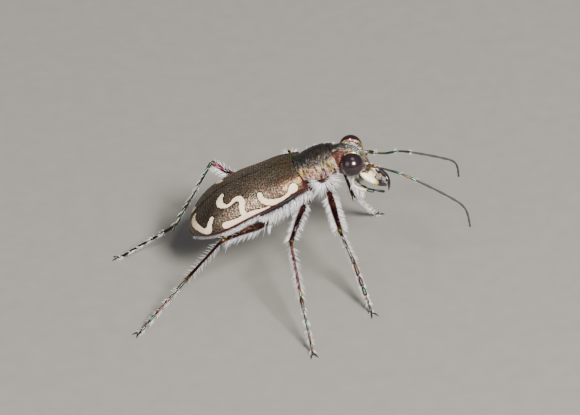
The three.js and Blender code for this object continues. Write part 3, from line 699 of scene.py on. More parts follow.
def head_surface(v, angle):
    u, closing = end_caps(v, 0.05)
    side, rise = squared(angle, 1.0 + 0.35 * part_way(u, 0.2, 0.4))
    t = u[..., None]
    middle = (1 - t) ** 2 * NECK + 2 * t * (1 - t) * CROWN + t ** 2 * FACE
    heading = 2 * (1 - t) * (CROWN - NECK) + 2 * t * (FACE - CROWN)
    heading = heading / np.linalg.norm(heading, axis=-1, keepdims=True)
    lift = np.stack([-heading[..., 2], 0 * u, heading[..., 0]], -1)
    # Fine ridges run from the neck over the crown to the face
    sway = 3 * np.sin(3 * u + 2 * angle)
    ridge = RIDGE_HEIGHT * np.cos(RIDGE_COUNT * angle + sway) * part_way(rise, 0, 0.5)
    ridge *= part_way(u, 0.08, 0.18) * part_way(u, 0.9, 0.8)
    wide = smooth([0.98, 1.02, 0.95, 0.88, 0.85, 0.8, 0.68], u) * closing + ridge
    top = smooth([0.95, 0.95, 0.92, 0.86, 0.72, 0.6, 0.42], u) * closing + ridge
    low = smooth([0.85, 0.9, 0.95, 0.95, 0.9, 0.8, 0.55], u) * closing
    points = middle + lift * (rise * np.where(rise > 0, top, low))[..., None]
    points[..., 1] += side * wide
    return points


capsule = Finish("head_bronze", metallic=0.8)
own = capsule.stored("own_place", "Vector")
x, y, z = capsule.axes(own)
outward = abs(y)
grooves = capsule.noise(capsule.stretched(own, (1.0, 10, 5)), 1.0, 4, 0.6)
fine = capsule.noise(capsule.place(), 11000, 4, 0.6)
film = (capsule.noise(own, 2.6, 4, 0.7) - 0.5) * 2.4 + (fine - 0.5) * 1.3 + 0.5
metal = capsule.ramp(film, [
    (0.05, (0.03, 0.13, 0.15)), (0.16, (0.06, 0.2, 0.12)), (0.28, (0.46, 0.36, 0.2)),
    (0.4, (0.3, 0.18, 0.12)), (0.5, (0.66, 0.62, 0.56)), (0.6, (0.42, 0.26, 0.2)),
    (0.7, (0.6, 0.48, 0.26)), (0.8, (0.5, 0.48, 0.45)), (0.9, (0.05, 0.16, 0.18))])
# Painted shade darkens the grooves
metal = capsule.mix(grooves.between(0.53, 0.43) * 0.9, metal, (0.022, 0.015, 0.015))
# The cheeks are blue-black, the temples dark red, and the nape is dark with a red tinge outside
metal = capsule.mix(z.between(-0.3, -0.75), metal, (0.02, 0.025, 0.05))
temple = x.between(0.6, 0.3) * outward.between(0.4, 0.6) * z.between(0.55, 0.4)
metal = capsule.mix(temple * 0.72, metal, (0.12, 0.03, 0.024))
nape = x.between(0.2, -0.15) * 0.85
metal = capsule.mix(nape * outward.between(0.45, 0.2), metal, (0.02, 0.022, 0.025))
metal = capsule.mix(nape * outward.between(0.3, 0.5), metal, (0.06, 0.016, 0.012))
capsule.give(base_color=metal, roughness=0.3 + grooves * 0.15)
capsule.give(normal=capsule.bump(grooves, 0.1, capsule.bump(fine, 0.02)))

skull = lofted("head_capsule", head_surface, 288, 110, HEAD)
dress(skull, capsule, "fore_shell", "head")


# Feeler sockets: two low knobs of bronze chitin on the face, between the eyes and the jaws. Each
# holds the first joint of a feeler, which turns on it.
SOCKET_RADIUS, SOCKET_HEIGHT = 0.2, 0.26
SOCKET_PLACE = (0.88, 0.68, 0.2)


def mirrored(points, side):
    """Points given for the left side, or their mirror images on the right side"""
    return np.array(points) * (1, side, 1)


def socket_surface(side):
    def surface(v, angle):
        ring = SOCKET_RADIUS * np.sin(v * math.pi)
        height = SOCKET_HEIGHT * np.cos(v * math.pi)
        knob = np.stack([ring * np.cos(angle), ring * np.sin(angle), height], -1)
        return mirrored(SOCKET_PLACE, side) + knob
    return surface


for hand, side in SIDES.items():
    socket = lofted(f"feeler_socket_{hand}", socket_surface(side), 24, 16, HEAD)
    dress(socket, capsule, "fore_shell")


# Eyes: two big balls of clear, hard cornea over dark brown, with facets too fine to see one by
# one. They bulge far out from the sides of the head.
EYE_RADIUS = 0.74
EYE_PLACE = (0, 1.1, 0)

eye_gloss = Finish("eye_gloss", roughness=0.2, coat_weight=0.6, coat_roughness=0.03,
                   specular_ior_level=0.4)
where = eye_gloss.place()
depths = eye_gloss.noise(where, 1500, 2)
eye_gloss.give(base_color=eye_gloss.mix(depths, (0.006, 0.004, 0.006), (0.022, 0.01, 0.013)))
eye_gloss.give(normal=eye_gloss.bump(eye_gloss.cells(where, 42000, randomness=0.2), 0.0015))


def eye_surface(side):
    def surface(v, angle):
        ring = np.sin(v * math.pi)
        outward = np.stack([ring * np.cos(angle), side * np.cos(v * math.pi), ring * np.sin(angle)], -1)
        return mirrored(EYE_PLACE, side) + EYE_RADIUS * outward
    return surface


for hand, side in SIDES.items():
    eye = lofted(f"eye_ball_{hand}", eye_surface(side), 72, 48, HEAD)
    dress(eye, eye_gloss, "eye", f"eye_{hand}")


# Eye cups: the chitin of the head swells into a dark bronze cup that holds each eye. Its rim is
# raised, with a painted gold glint above the eye, and the cup is finely ridged round the eye.
CUP_SPREAD = math.radians(71)
CUP_THICKNESS, RIM_HEIGHT, RIM_WIDTH = 0.03, 0.055, 0.09
CUP_OVERLAP, CUP_LIP = 0.04, 0.02
CUP_RIDGE_RATE, CUP_RIDGE_HEIGHT = 48, 0.005

eye_cup = Finish("eye_cup", roughness=0.3, metallic=0.85)
where = eye_cup.place()
rim_glint_gold = eye_cup.ramp((eye_cup.noise(where, 2600) - 0.5) * 2 + 0.5, [
    (0.2, (0.05, 0.02, 0.02)), (0.4, (0.4, 0.16, 0.07)), (0.55, (0.6, 0.4, 0.1)),
    (0.68, (0.1, 0.3, 0.1)), (0.8, (0.06, 0.2, 0.28))])
_, out, up = eye_cup.axes(eye_cup.stored("own_place", "Vector"))
# Painted glint: the upper part of the rim is gold and green
painted_rim_glint = abs(out).between(0.66, 0.78) * up.between(-0.1, 0.25)
patches = eye_cup.noise(where, 5200).between(0.42, 0.58)
cup_dark = eye_cup.mix(patches, (0.02, 0.02, 0.03), (0.12, 0.06, 0.04))
eye_cup.give(base_color=eye_cup.mix(painted_rim_glint, cup_dark, rim_glint_gold))
eye_cup.give(normal=eye_cup.bump(eye_cup.noise(where, 9000), 0.03))


def eye_cup_surface(side):
    """Out along the outside of the cup to its rim, and back between the cup and the eye"""
    def surface(v, angle):
        turn = np.minimum(v, 1 - v) * 2 * CUP_SPREAD
        swell = CUP_THICKNESS + RIM_HEIGHT * hump(turn, 0.93 * CUP_SPREAD, RIM_WIDTH)
        ridged = swell + CUP_RIDGE_HEIGHT * np.cos(CUP_RIDGE_RATE * turn)
        reach = np.where(v > 0.5, -CUP_OVERLAP, ridged)
        # The rim turns over into the inside at its lip
        reach = EYE_RADIUS + np.where(v == 0.5, CUP_LIP, reach)
        ring = np.sin(turn)
        outward = np.stack([ring * np.cos(angle), -side * np.cos(turn), ring * np.sin(angle)], -1)
        return mirrored(EYE_PLACE, side) + reach[..., None] * outward
    return surface


for hand, side in SIDES.items():
    cup = lofted(f"eye_cup_{hand}", eye_cup_surface(side), 96, 96, HEAD)
    dress(cup, eye_cup, "fore_shell")


# Labrum: the thin ivory plate that hangs over the roots of the jaws. It is hinged to the face, and
# its front edge bows forward, with one tooth in the middle and a low one on each side.
LABRUM_ROOT, LABRUM_LENGTH, LABRUM_THICKNESS = 1.16, 0.78, 0.1
MIDDLE_TOOTH, SIDE_TOOTH, SIDE_TOOTH_PLACE = 0.13, 0.04, 0.33


def labrum_surface(v, angle):
    u, closing = end_caps(v, 0.1)
    side, rise = squared(angle, 1.5)
    across = side * smooth([0.6, 0.66, 0.68, 0.66, 0.56], u) * closing
    teeth = MIDDLE_TOOTH * hump(across, 0, 0.07)
    teeth += SIDE_TOOTH * hump(np.abs(across), SIDE_TOOTH_PLACE, 0.08)
    x = LABRUM_ROOT + u * (LABRUM_LENGTH - 0.35 * across ** 2) + teeth * u ** 5
    thick = LABRUM_THICKNESS * (1 - 0.5 * u) * closing + 0.01
    z = rise * thick - 0.2 * u - 0.1 * u ** 3 - 0.3 * across ** 2
    return np.stack([x, across, z], -1)


ivory = Finish("ivory_shell", roughness=0.32, coat_weight=0.2)
blotch = ivory.noise(ivory.place(), 1800)
ivory.give(base_color=ivory.mix(blotch.between(0.3, 0.7), (0.6, 0.44, 0.25), (0.84, 0.74, 0.55)))
ivory.give(normal=ivory.bump(blotch, 0.03))
labrum = lofted("labrum_plate", labrum_surface, 96, 40, HEAD)
dress(labrum, ivory, "ivory", "labrum")


# Jaws: long, hard sickles, ivory at the root and black at the tip, with four teeth on the inner
# edge. They turn on the lower corners of the face, and the right one crosses under the left.
JAWS = {
    "l": [(0.95, 0.45, -0.42), (1.3, 0.64, -0.42), (1.9, 0.64, -0.36), (2.36, 0.46, -0.26),
          (2.72, 0.18, -0.23), (3.04, -0.06, -0.45), (3.28, -0.2, -0.86)],
    "r": [(0.95, -0.5, -0.42), (1.3, -0.7, -0.46), (1.9, -0.74, -0.48), (2.45, -0.55, -0.5),
          (2.85, -0.2, -0.6), (3.02, 0.1, -0.84)],
}
JAW_RADII = [0.22, 0.27, 0.26, 0.23, 0.18, 0.13, 0.03]
JAW_FLATNESS, TOOTH_FLATNESS = 0.75, 0.7
# Each tooth's place along the jaw, its length and its half width at the root
TEETH = [(0.38, 0.62, 0.18), (0.52, 0.56, 0.15), (0.66, 0.44, 0.12), (0.78, 0.26, 0.08)]
ROUND_END = 0.04


def unit(vector):
    return vector / np.linalg.norm(vector, axis=-1, keepdims=True)


def path_frames(points, rows):
    """Evenly spaced places along a smooth line through points, with its two cross directions"""
    line = smooth(points, np.linspace(0, 1, 400))
    run = np.concatenate([[0], np.cumsum(np.linalg.norm(np.diff(line, axis=0), axis=1))])
    places = np.linspace(0, run[-1], rows + 1)
    at = np.stack([np.interp(places, run, values) for values in line.T], -1)
    ahead = unit(np.gradient(at, axis=0))
    across = unit(np.cross((0, 0, 1), ahead))
    return at, across, np.cross(ahead, across)


def rod(name, points, radii, sides, rows, frame_of, flat=1.0):
    """A rod along a smooth line, closed round at both ends. radii are its half widths along the
    line in millimetres, and flat makes it thinner upwards."""
    piece, row, angle = ball_grid(name, sides, rows)
    at, across, lift = (line[np.round(row * rows).astype(int)] for line in path_frames(points, rows))
    near_end = np.minimum(part_way(row, 0, ROUND_END), part_way(row, 1, 1 - ROUND_END))
    size = (smooth(radii, row) * np.sqrt(1 - (1 - near_end) ** 2))[:, None]
    out, up = np.cos(angle)[:, None], flat * np.sin(angle)[:, None]
    settle(piece, at + size * (across * out + lift * up), frame_of)
    store(piece, "along", row)
    close_up(piece)
    return piece


def run_between(piece, start, end):
    """Makes the run that is stored along a rod go from start to end instead of from 0 to 1"""
    along = piece.data.attributes["along"].data
    values = np.empty(len(along))
    along.foreach_get("value", values)
    along.foreach_set("value", start + (end - start) * values)


def joined(name, pieces):
    """Joins pieces into the first of them, which takes the name"""
    bpy.ops.object.select_all(action="DESELECT")
    for piece in pieces:
        piece.select_set(True)
    bpy.context.view_layer.objects.active = pieces[0]
    bpy.ops.object.join()
    pieces[0].name = name
    bpy.ops.object.select_all(action="DESELECT")
    return pieces[0]


# The jaws' colour follows their stored run: ivory up to 0.36, amber round 0.5, black from 0.58 on
jaw_finish = Finish("jaw", coat_weight=0.3)
smudge = (jaw_finish.noise(jaw_finish.place(), 2600) - 0.5) * 0.16
along = jaw_finish.stored("along") + smudge
dark_jaw = along.between(0.5, 0.58)
jaw_tone = jaw_finish.mix(along.between(0.36, 0.5), (0.82, 0.72, 0.52), (0.36, 0.2, 0.06))
jaw_finish.give(base_color=jaw_finish.mix(dark_jaw, jaw_tone, (0.012, 0.01, 0.016)))
jaw_finish.give(roughness=0.34 - dark_jaw * 0.16)


def tooth(root, tip, width):
    """One tooth of a jaw, amber at its root and dark at its point"""
    bend = 0.5 * (root + tip) + np.array([-0.06, 0, 0.02])
    radii = width * np.array([1, 0.8, 0.5, 0.1])
    piece = rod("tooth", [root, bend, tip], radii, 16, 14, HEAD, TOOTH_FLATNESS)
    run_between(piece, 0.4, 0.66)
    return piece


for hand, side in SIDES.items():
    sickle = np.array(JAWS[hand])
    blade = rod(f"jaw_{hand}", sickle, JAW_RADII, 24, 56, HEAD, JAW_FLATNESS)
    # The left jaw is the longer one and darkens sooner, and its teeth hang down over the right
    run_between(blade, 0, 1.5 if hand == "l" else 1.1)
    inward = unit(np.array([0.3, -side, -0.6 if hand == "l" else -0.1]))
    pieces = [blade]
    for share, length, width in TEETH:
        root = smooth(sickle, share)
        pieces.append(tooth(root, root + length * inward, width))
    dress(joined(f"jaw_{hand}", pieces), jaw_finish, "ivory", f"mandible_{hand}")


# Palps: two pairs of jointed mouth feelers of thin chitin, the outer ones slim and dark, the lower
# ones pale and swollen with a dark last joint. Each joint is a little club.
PATH_ROWS = 200
OUTER_PALP = [
    (0.7, 0.5, -0.7), (1.2, 0.75, -1.05), (1.9, 0.75, -1.1), (2.5, 0.66, -0.98),
    (2.98, 0.56, -0.86)]
LOWER_PALP = [(0.75, 0.4, -0.95), (0.92, 0.6, -1.4), (1.5, 0.72, -1.4), (2.35, 0.7, -1.13)]
OUTER_PALP_JOINTS, OUTER_PALP_RADII = [0, 0.25, 0.5, 0.74, 1], [0.08, 0.07, 0.06, 0.085]
LOWER_PALP_JOINTS, LOWER_PALP_RADII = [0, 0.22, 0.76, 1], [0.1, 0.13, 0.085]


def jointed(name, points, joints, radii, frame_of, neck=0.55, sides=16, rows=22):
    """A feeler or foot of several joints, each narrow at its root and wide at its far end. joints
    are the shares of the whole length at which they meet."""
    at, _, _ = path_frames(points, PATH_ROWS)
    pieces = []
    for k, (start, end, radius) in enumerate(zip(joints, joints[1:], radii)):
        first = round(start * PATH_ROWS)
        last = min(round(end * PATH_ROWS) + 2, PATH_ROWS)
        picks = at[first + np.linspace(0, last - first, 5).round().astype(int)]
        club = radius * np.array([neck, 0.8, 0.92, 1, 0.8])
        pieces.append(rod(f"{name}_{k}", picks, club, sides, rows, frame_of))
        run_between(pieces[-1], start, end)
    return joined(name, pieces)


pale_palp = Finish("palp", roughness=0.35)
dark_end = pale_palp.stored("along").between(0.72, 0.76)
pale_palp.give(base_color=pale_palp.mix(dark_end, (0.46, 0.36, 0.24), (0.02, 0.035, 0.028)))
pale_palp.give(metallic=dark_end * 0.7)
dark_palp = Finish("dark_feeler", roughness=0.3, metallic=0.75)
dark_palp.give(base_color=dark_palp.ramp(dark_palp.noise(dark_palp.place(), 1600, 2), [
    (0.35, (0.01, 0.008, 0.007)), (0.5, (0.03, 0.018, 0.013)), (0.65, (0.02, 0.035, 0.025))]))

for hand, side in SIDES.items():
    slim = jointed(f"outer_palp_{hand}", mirrored(OUTER_PALP, side), OUTER_PALP_JOINTS,
                   OUTER_PALP_RADII, HEAD)
    dress(slim, dark_palp, "mouth_feeler")
    stout = jointed(f"lower_palp_{hand}", mirrored(LOWER_PALP, side), LOWER_PALP_JOINTS,
                    LOWER_PALP_RADII, HEAD)
    dress(stout, pale_palp, "mouth_feeler", f"palps_{hand}")


# Feelers: eleven joints each. The first four are bare, green and copper; the rest are dull and
# downy. The first is a stout club that turns in its socket, the second a bead.
FEELER_ROUTES = {
    "l": [(4.03, 0.78, -0.66), (4.82, 1.39, -1.57), (5.85, 1.94, -2.23), (7.56, 2.91, -4.1),
          (8.25, 3.35, -5.15), (8.0, 3.74, -6.39)],
    "r": [(3.99, -0.78, -0.7), (5.08, -1.18, -1.31), (6.11, -1.52, -2.11), (7.9, -2.09, -4.04),
          (8.58, -2.34, -5.17), (8.41, -2.57, -6.41)],
}
FEELER_JOINTS = [0, 0.06, 0.085, 0.27, 0.40, 0.535, 0.65, 0.745, 0.825, 0.9, 0.955, 1]
BARE_JOINTS = 4
BARE_RADII = [0.125, 0.075, 0.075, 0.075]
DOWNY_RADII = [0.078, 0.078, 0.076, 0.074, 0.072, 0.07, 0.066]

bare_feeler = Finish("bare_feeler", roughness=0.25, metallic=0.9)
bare_feeler.give(base_color=bare_feeler.ramp(bare_feeler.noise(bare_feeler.place(), 1300, 2), [
    (0.35, (0.012, 0.05, 0.04)), (0.48, (0.03, 0.1, 0.07)), (0.58, (0.2, 0.1, 0.04)),
    (0.7, (0.14, 0.04, 0.025))]))
downy_feeler = Finish("downy_feeler", roughness=0.85)
down = downy_feeler.noise(downy_feeler.place(), 22000)
downy_feeler.give(base_color=downy_feeler.mix(down, (0.012, 0.011, 0.012), (0.045, 0.041, 0.04)))
downy_feeler.give(normal=downy_feeler.bump(down, 0.01))

for hand, route in FEELER_ROUTES.items():
    base = jointed(f"feeler_base_{hand}", route, FEELER_JOINTS[:BARE_JOINTS + 1], BARE_RADII,
                   BODY, 0.6)
    dress(base, bare_feeler, "metallic_feeler", f"antenna_{hand}_base")
    tip = jointed(f"feeler_tip_{hand}", route, FEELER_JOINTS[BARE_JOINTS:], DOWNY_RADII,
                  BODY, 0.75, 14, 16)
    dress(tip, downy_feeler, "dull_feeler", f"antenna_{hand}_tip")


# Legs: coxa, trochanter, thigh, shin with two spurs, five foot joints and two claws on each. They
# are slim, metallic copper above the ankle and green below, and straight, so the body stands high.
LEG_PAIRS = {
    "front": {"root": (1.2, 0.4, -0.7), "hip": (1.1, 1.0, -1.35),
              "thigh": 3.3, "shin": 3.0, "foot": 3.45},
    "middle": {"root": (-1.2, 0.6, -0.7), "hip": (-0.4, 1.2, -1.3),
               "thigh": 3.65, "shin": 3.5, "foot": 3.6},
    "hind": {"root": (-2.4, 0.8, -0.7), "hip": (-3.0, 1.5, -1.6),
             "thigh": 4.5, "shin": 4.6, "foot": 4.6},
}
# Turn and rise of the thigh, turn and rise of the shin, and turn of the foot, in degrees
LEG_POSES = {
    ("front", "r"): ((-81, -17), (44, -70), -63),
    ("front", "l"): ((75, -16), (1, -75), 45),
    ("middle", "r"): ((-109, -11), (-81, -47), -77),
    ("middle", "l"): ((104, -1), (91, -92), 91),
    ("hind", "r"): ((-134, 13), (146, -53), -144),
    ("hind", "l"): ((141, 14), (-142, -45), 170),
}
HIP_RADII, KNUCKLE_RADII = [0.28, 0.34, 0.3, 0.2], [0.16, 0.21, 0.12]
SHIN_RADII, SPUR_RADII = [0.1, 0.1, 0.09, 0.09, 0.1, 0.13], [0.045, 0.035, 0.01]
FOOT_RADII, PADDED_FOOT_RADII = [0.1, 0.085, 0.08, 0.078, 0.08], [0.14, 0.15, 0.14, 0.08, 0.08]
CLAW_RADII = [0.045, 0.04, 0.03, 0.01]
THIGH_WIDEST, HIND_THIGH_WIDEST = 0.21, 0.21 * 1.15
THIGH_ROOT_RADIUS, THIGH_END_RADII = 0.14, [0.19, 0.16, 0.14, 0.15]
HIP_OVERLAP, THIGH_START, KNUCKLE_LENGTH = 0.12, 0.2, 0.48
THIGH_BOW, KNEE_OVERLAP, SHIN_OVERLAP = 0.04, 0.05, 0.02
# Down the shin and out to its side
SPUR_ROUTE = [(-0.1, 0), (0.15, 0.1), (0.42, 0.16)]
FOOT_JOINTS = [0, 0.27, 0.47, 0.65, 0.8, 1]
FOOT_LIFT, FOOT_BOW = 0.09, 0.03
# Out and up from the foot, before the claw bends down to its tip
CLAW_ROUTE = [(0, 0), (0.2, 0.03), (0.4, -0.02)]
CLAW_LENGTH, CLAW_SPREAD, CLAW_OVERLAP, CLAW_TIP_LIFT = 0.5, 0.55, 0.04, 0.015
UP = np.array([0, 0, 1.0])


def heading(turn, rise=0.0):
    """The direction that is turned and raised by so many degrees"""
    a, b = math.radians(turn), math.radians(rise)
    return np.array([math.cos(a) * math.cos(b), math.sin(a) * math.cos(b), math.sin(b)])


def leg_places(pair, hand):
    """Root, hip, knee, ankle and claw root of a leg, over the floor, and the side of its knee plane"""
    sizes = LEG_PAIRS[pair]
    femur, tibia, foot = LEG_POSES[pair, hand]
    root, hip = placed(mirrored([sizes["root"], sizes["hip"]], SIDES[hand]), RAISED)
    knee = hip + heading(*femur) * sizes["thigh"]
    ankle = knee + heading(*tibia) * sizes["shin"]
    stride = math.sqrt(sizes["foot"] ** 2 - ankle[2] ** 2)
    tip = ankle * (1, 1, 0) + heading(foot) * stride
    return root, hip, knee, ankle, tip, unit(np.cross(heading(*femur), heading(*tibia)))


def leg_metal(name, patch_tone_and_sheen, patch_share):
    """Dark red-brown metal with fine pricks. It shades at a knee to green and dark red, with painted gold
    glints, and in patches to a second tone, which is a painted sheen where it is pink
    """
    metal = Finish(name, metallic=0.96)
    where = metal.place()
    sheen = metal.noise(where, 1300)
    tone = metal.ramp((sheen - 0.5) * 1.8 + 0.5, [
        (0.2, (0.008, 0.003, 0.003)), (0.36, (0.022, 0.005, 0.006)), (0.5, (0.055, 0.01, 0.01)),
        (0.6, (0.04, 0.01, 0.016)), (0.7, (0.14, 0.05, 0.022)), (0.82, (0.014, 0.055, 0.035))])
    tone = metal.mix(sheen.between(0.4, 0.55) * patch_share, tone, patch_tone_and_sheen)
    knee = metal.stored("along").between(0.84, 0.97)
    # Green and dark red at the knee, with painted gold glints
    knee_tone_and_glint = metal.ramp(metal.noise(where, 3400), [
        (0.36, (0.02, 0.1, 0.03)), (0.46, (0.3, 0.16, 0.03)), (0.54, (0.12, 0.02, 0.02)),
        (0.64, (0.02, 0.08, 0.05))])
    metal.give(base_color=metal.mix(knee * 0.8, tone, knee_tone_and_glint))
    metal.give(roughness=0.24 + metal.noise(where, 5000) * 0.2)
    pricks = metal.cells(where, 13000)
    metal.give(normal=metal.bump(pricks, 0.006, metal.bump(metal.noise(where, 9000), 0.008)))
    return metal


copper = leg_metal("copper_leg", (0.12, 0.03, 0.02), 0.2)
dark_shin = leg_metal("dark_shin", (0.022, 0.008, 0.009), 0.8)
# Painted pink sheen for the left hind thigh
pink_sheen_copper = leg_metal("pink_sheen_leg", (0.42, 0.05, 0.12), 0.95)
green_shin = leg_metal("green_shin", (0.015, 0.06, 0.03), 0.9)
green = Finish("green_foot", roughness=0.3, metallic=0.96)
where = green.place()
green.give(base_color=green.ramp(green.noise(where, 1500), [
    (0.36, (0.012, 0.05, 0.03)), (0.44, (0.016, 0.012, 0.01)), (0.52, (0.055, 0.022, 0.01)),
    (0.6, (0.02, 0.01, 0.01)), (0.68, (0.015, 0.08, 0.035))]))
green.give(normal=green.bump(green.noise(where, 9000), 0.008))

legs = {}
for pair, hand in LEG_POSES:
    root, hip, knee, ankle, tip, across = legs[pair, hand] = leg_places(pair, hand)
    name = f"{pair}_{hand}"
    toward = unit(knee - hip)
    thigh_start = hip + THIGH_START * toward
    coxa = rod(f"hip_{name}", [root, 0.5 * (root + hip), hip, hip + HIP_OVERLAP * toward],
               HIP_RADII, 28, 26, STANCE)
    knuckle = rod("knuckle", [hip - HIP_OVERLAP * toward, thigh_start, hip + KNUCKLE_LENGTH * toward],
                  KNUCKLE_RADII, 16, 14, STANCE)
    dress(joined(f"hip_{name}", [coxa, knuckle]), copper, "leg", f"coxa_{name}")

    widest = HIND_THIGH_WIDEST if pair == "hind" else THIGH_WIDEST
    thigh = rod(f"thigh_{name}",
                [thigh_start, 0.5 * (hip + knee) + THIGH_BOW * UP, knee + KNEE_OVERLAP * toward],
                [THIGH_ROOT_RADIUS, widest, widest, *THIGH_END_RADII], 24, 60, STANCE)
    # The left hind leg has a painted pink sheen on the thigh, and is green on the shin
    dress(thigh, pink_sheen_copper if name == "hind_l" else copper, "leg", f"femur_{name}")

    down = unit(ankle - knee)
    pieces = [rod(f"shin_{name}", [knee - SHIN_OVERLAP * down, 0.5 * (knee + ankle), ankle],
                  SHIN_RADII, 18, 60, STANCE)]
    for way in (-across, across):
        spur = [ankle + run * down + out * way for run, out in SPUR_ROUTE]
        pieces.append(rod("spur", spur, SPUR_RADII, 8, 8, STANCE))
    shin_finish = green_shin if name == "hind_l" else dark_shin
    dress(joined(f"shin_{name}", pieces), shin_finish, "leg", f"tibia_{name}")

    foot_end = tip + FOOT_LIFT * UP
    sole = foot_end - ankle
    pieces = [jointed(f"foot_{name}",
                      [ankle, ankle + 0.33 * sole, ankle + 0.66 * sole + FOOT_BOW * UP, foot_end],
                      FOOT_JOINTS, PADDED_FOOT_RADII if pair == "front" else FOOT_RADII,
                      STANCE, 0.5, 14, 16)]
    start = foot_end - CLAW_OVERLAP * unit(tip - ankle)
    ahead = heading(LEG_POSES[pair, hand][2])
    for way in (-CLAW_SPREAD, CLAW_SPREAD):
        spread = unit(ahead + way * np.cross(ahead, UP))
        point = start + CLAW_LENGTH * spread
        point[2] = CLAW_TIP_LIFT
        claw = [start + run * spread + rise * UP for run, rise in CLAW_ROUTE] + [point]
        pieces.append(rod("claw", claw, CLAW_RADII, 10, 12, STANCE))
    dress(joined(f"foot_{name}", pieces), green, "foot", f"tarsus_{name}")


# Leg bristles: stiff, bright white bristles that grow from the shell, in fringes along the thighs,
# in rows down the shins and in tufts on the feet. Pads of them line the soles of the front feet.
rng = np.random.default_rng(11)
PATCH = 0.003
RINGS, HAIR_SIDES = 4, 3
LAST_RING, TAPER = 0.82, 1.6
HAIR_ROOT_DEPTH = 0.04
FLOOR_CLEARANCE = 0.08
HIP_TUFT = dict(count=70, spread=45, length=0.6, lean=25, width=0.036, share=(0.35, 1.05), shell=0.28)
THIGH_FRINGE = dict(count=120, spread=22, length=0.58, lean=36, width=0.042, share=(0.1, 0.93),
                    shell=0.14)
HIND_FRINGE = dict(count=125, spread=22, lean=30, width=0.04, share=(0.1, 0.9), shell=0.15)
HIND_SIDE_ROW = dict(spread=16, length=0.45, lean=40, width=0.034, share=(0.2, 0.95), shell=0.14)
HIND_TOP_ROW = dict(count=20, spread=16, length=0.42, lean=45, width=0.038, share=(0.3, 0.95),
                    shell=0.14)
SHIN_ROW = dict(count=19, spread=9, lean=44, width=0.042, share=(0.08, 0.97), shell=0.07)
FOOT_TUFT = dict(count=5, spread=24, length=0.32, lean=42, width=0.042, shell=0.06)
SOLE_PAD = dict(count=900, length=0.15, lean=30, width=0.028, share=(0.03, 0.64), shell=0.11)

white_hair = Finish("white_hair", roughness=0.45)
tone = white_hair.noise(white_hair.place(), 1500, 2)
# Painted shade darkens some hairs more than others, and every hair at its root
hair_tone_and_shade = white_hair.stored("strand") * 0.8 + tone * 0.2
white_hair.give(base_color=white_hair.mix(hair_tone_and_shade, (0.24, 0.19, 0.19), (0.95, 0.95, 0.97)))


def hairs(name, rows, frame_of=STANCE):
    """Solid tapered hairs in one mesh. Each starts in the shell, stands out along its way and
    bends over to its lie. Every row has its hairs' roots, ways, lies, lengths and widths, and
    their spots, which are the roots' places on the unwrapped shell."""
    roots, ways, lies, lengths, widths, spots = (np.concatenate(parts) for parts in zip(*rows))
    count = len(roots)
    ways, lies = unit(ways), unit(lies)
    t = np.array([*np.linspace(0, LAST_RING, RINGS), 1.0])
    s = t[:, None]
    start = roots - ways * HAIR_ROOT_DEPTH
    knee = roots + ways * (0.5 * lengths)[:, None]
    end = knee + lies * (0.5 * lengths)[:, None]
    line = (1 - s) ** 2 * start[:, None] + 2 * s * (1 - s) * knee[:, None] + s ** 2 * end[:, None]
    ahead = unit(np.gradient(line, axis=1))
    helper = np.where(np.abs(ways[:, 2:]) < 0.8, [[0, 0, 1.0]], [[1.0, 0, 0]])
    first = unit(np.cross(ahead, helper[:, None]))
    second = np.cross(ahead, first)
    size = (widths[:, None] / 2 * (1 - t[:RINGS] ** TAPER))[..., None, None]
    turn = (np.arange(HAIR_SIDES) / HAIR_SIDES * 2 * math.pi)[:, None]
    out = first[:, :RINGS, None] * np.cos(turn) + second[:, :RINGS, None] * np.sin(turn)
    ring = line[:, :RINGS, None] + size * out
    points = np.concatenate([ring.reshape(count, -1, 3), line[:, -1:]], 1)
    # Faces of one hair: its skin in quads, its point in triangles and one that closes its root
    j = np.arange(HAIR_SIDES)
    beside = (j + 1) % HAIR_SIDES
    tip = RINGS * HAIR_SIDES
    per_hair = tip + 1
    skin = []
    for k in range(0, tip - HAIR_SIDES, HAIR_SIDES):
        above = k + HAIR_SIDES
        skin += np.stack([k + j, k + beside, above + beside, above + j], -1).tolist()
    skin += [[above + a, above + b, tip] for a, b in zip(j.tolist(), beside.tolist())]
    skin.append(j[::-1].tolist())
    faces = [[v + hair * per_hair for v in face] for hair in range(count) for face in skin]
    over_floor = placed(points.reshape(-1, 3), frame_of)
    # Hairs of the feet lie flat where they meet the floor
    height = over_floor[:, 2]
    squashed = FLOOR_CLEARANCE * np.exp(np.minimum(height, FLOOR_CLEARANCE) / FLOOR_CLEARANCE - 1)
    over_floor[:, 2] = np.where(height < FLOOR_CLEARANCE, squashed, height)
    mesh = bpy.data.meshes.new(name)
    piece = bpy.data.objects.new(name, mesh)
    bpy.context.collection.objects.link(piece)
    mesh.from_pydata(over_floor * MM, [], faces)
    mesh.polygons.foreach_set("use_smooth", [True] * len(mesh.polygons))
    # Painted shade: each hair is darkened by its own amount, as among the other hairs, and more at its
    # root
    from_root = np.append(np.repeat(np.clip(0.25 + 3 * t[:RINGS], 0, 1), HAIR_SIDES), 1)
    store(piece, "strand", ((rng.uniform(0.1, 1, count) ** 0.55)[:, None] * from_root).ravel())
    corner = np.empty(len(mesh.loops), int)
    mesh.loops.foreach_get("vertex_index", corner)
    hair, local = corner // per_hair, corner % per_hair
    within = np.stack([local % HAIR_SIDES / HAIR_SIDES, local // HAIR_SIDES / RINGS], -1)
    uv = spots[hair] + PATCH * within
    mesh.uv_layers.new(name="OFBake").data.foreach_set("uv", uv.ravel())
    mesh.update()
    return piece


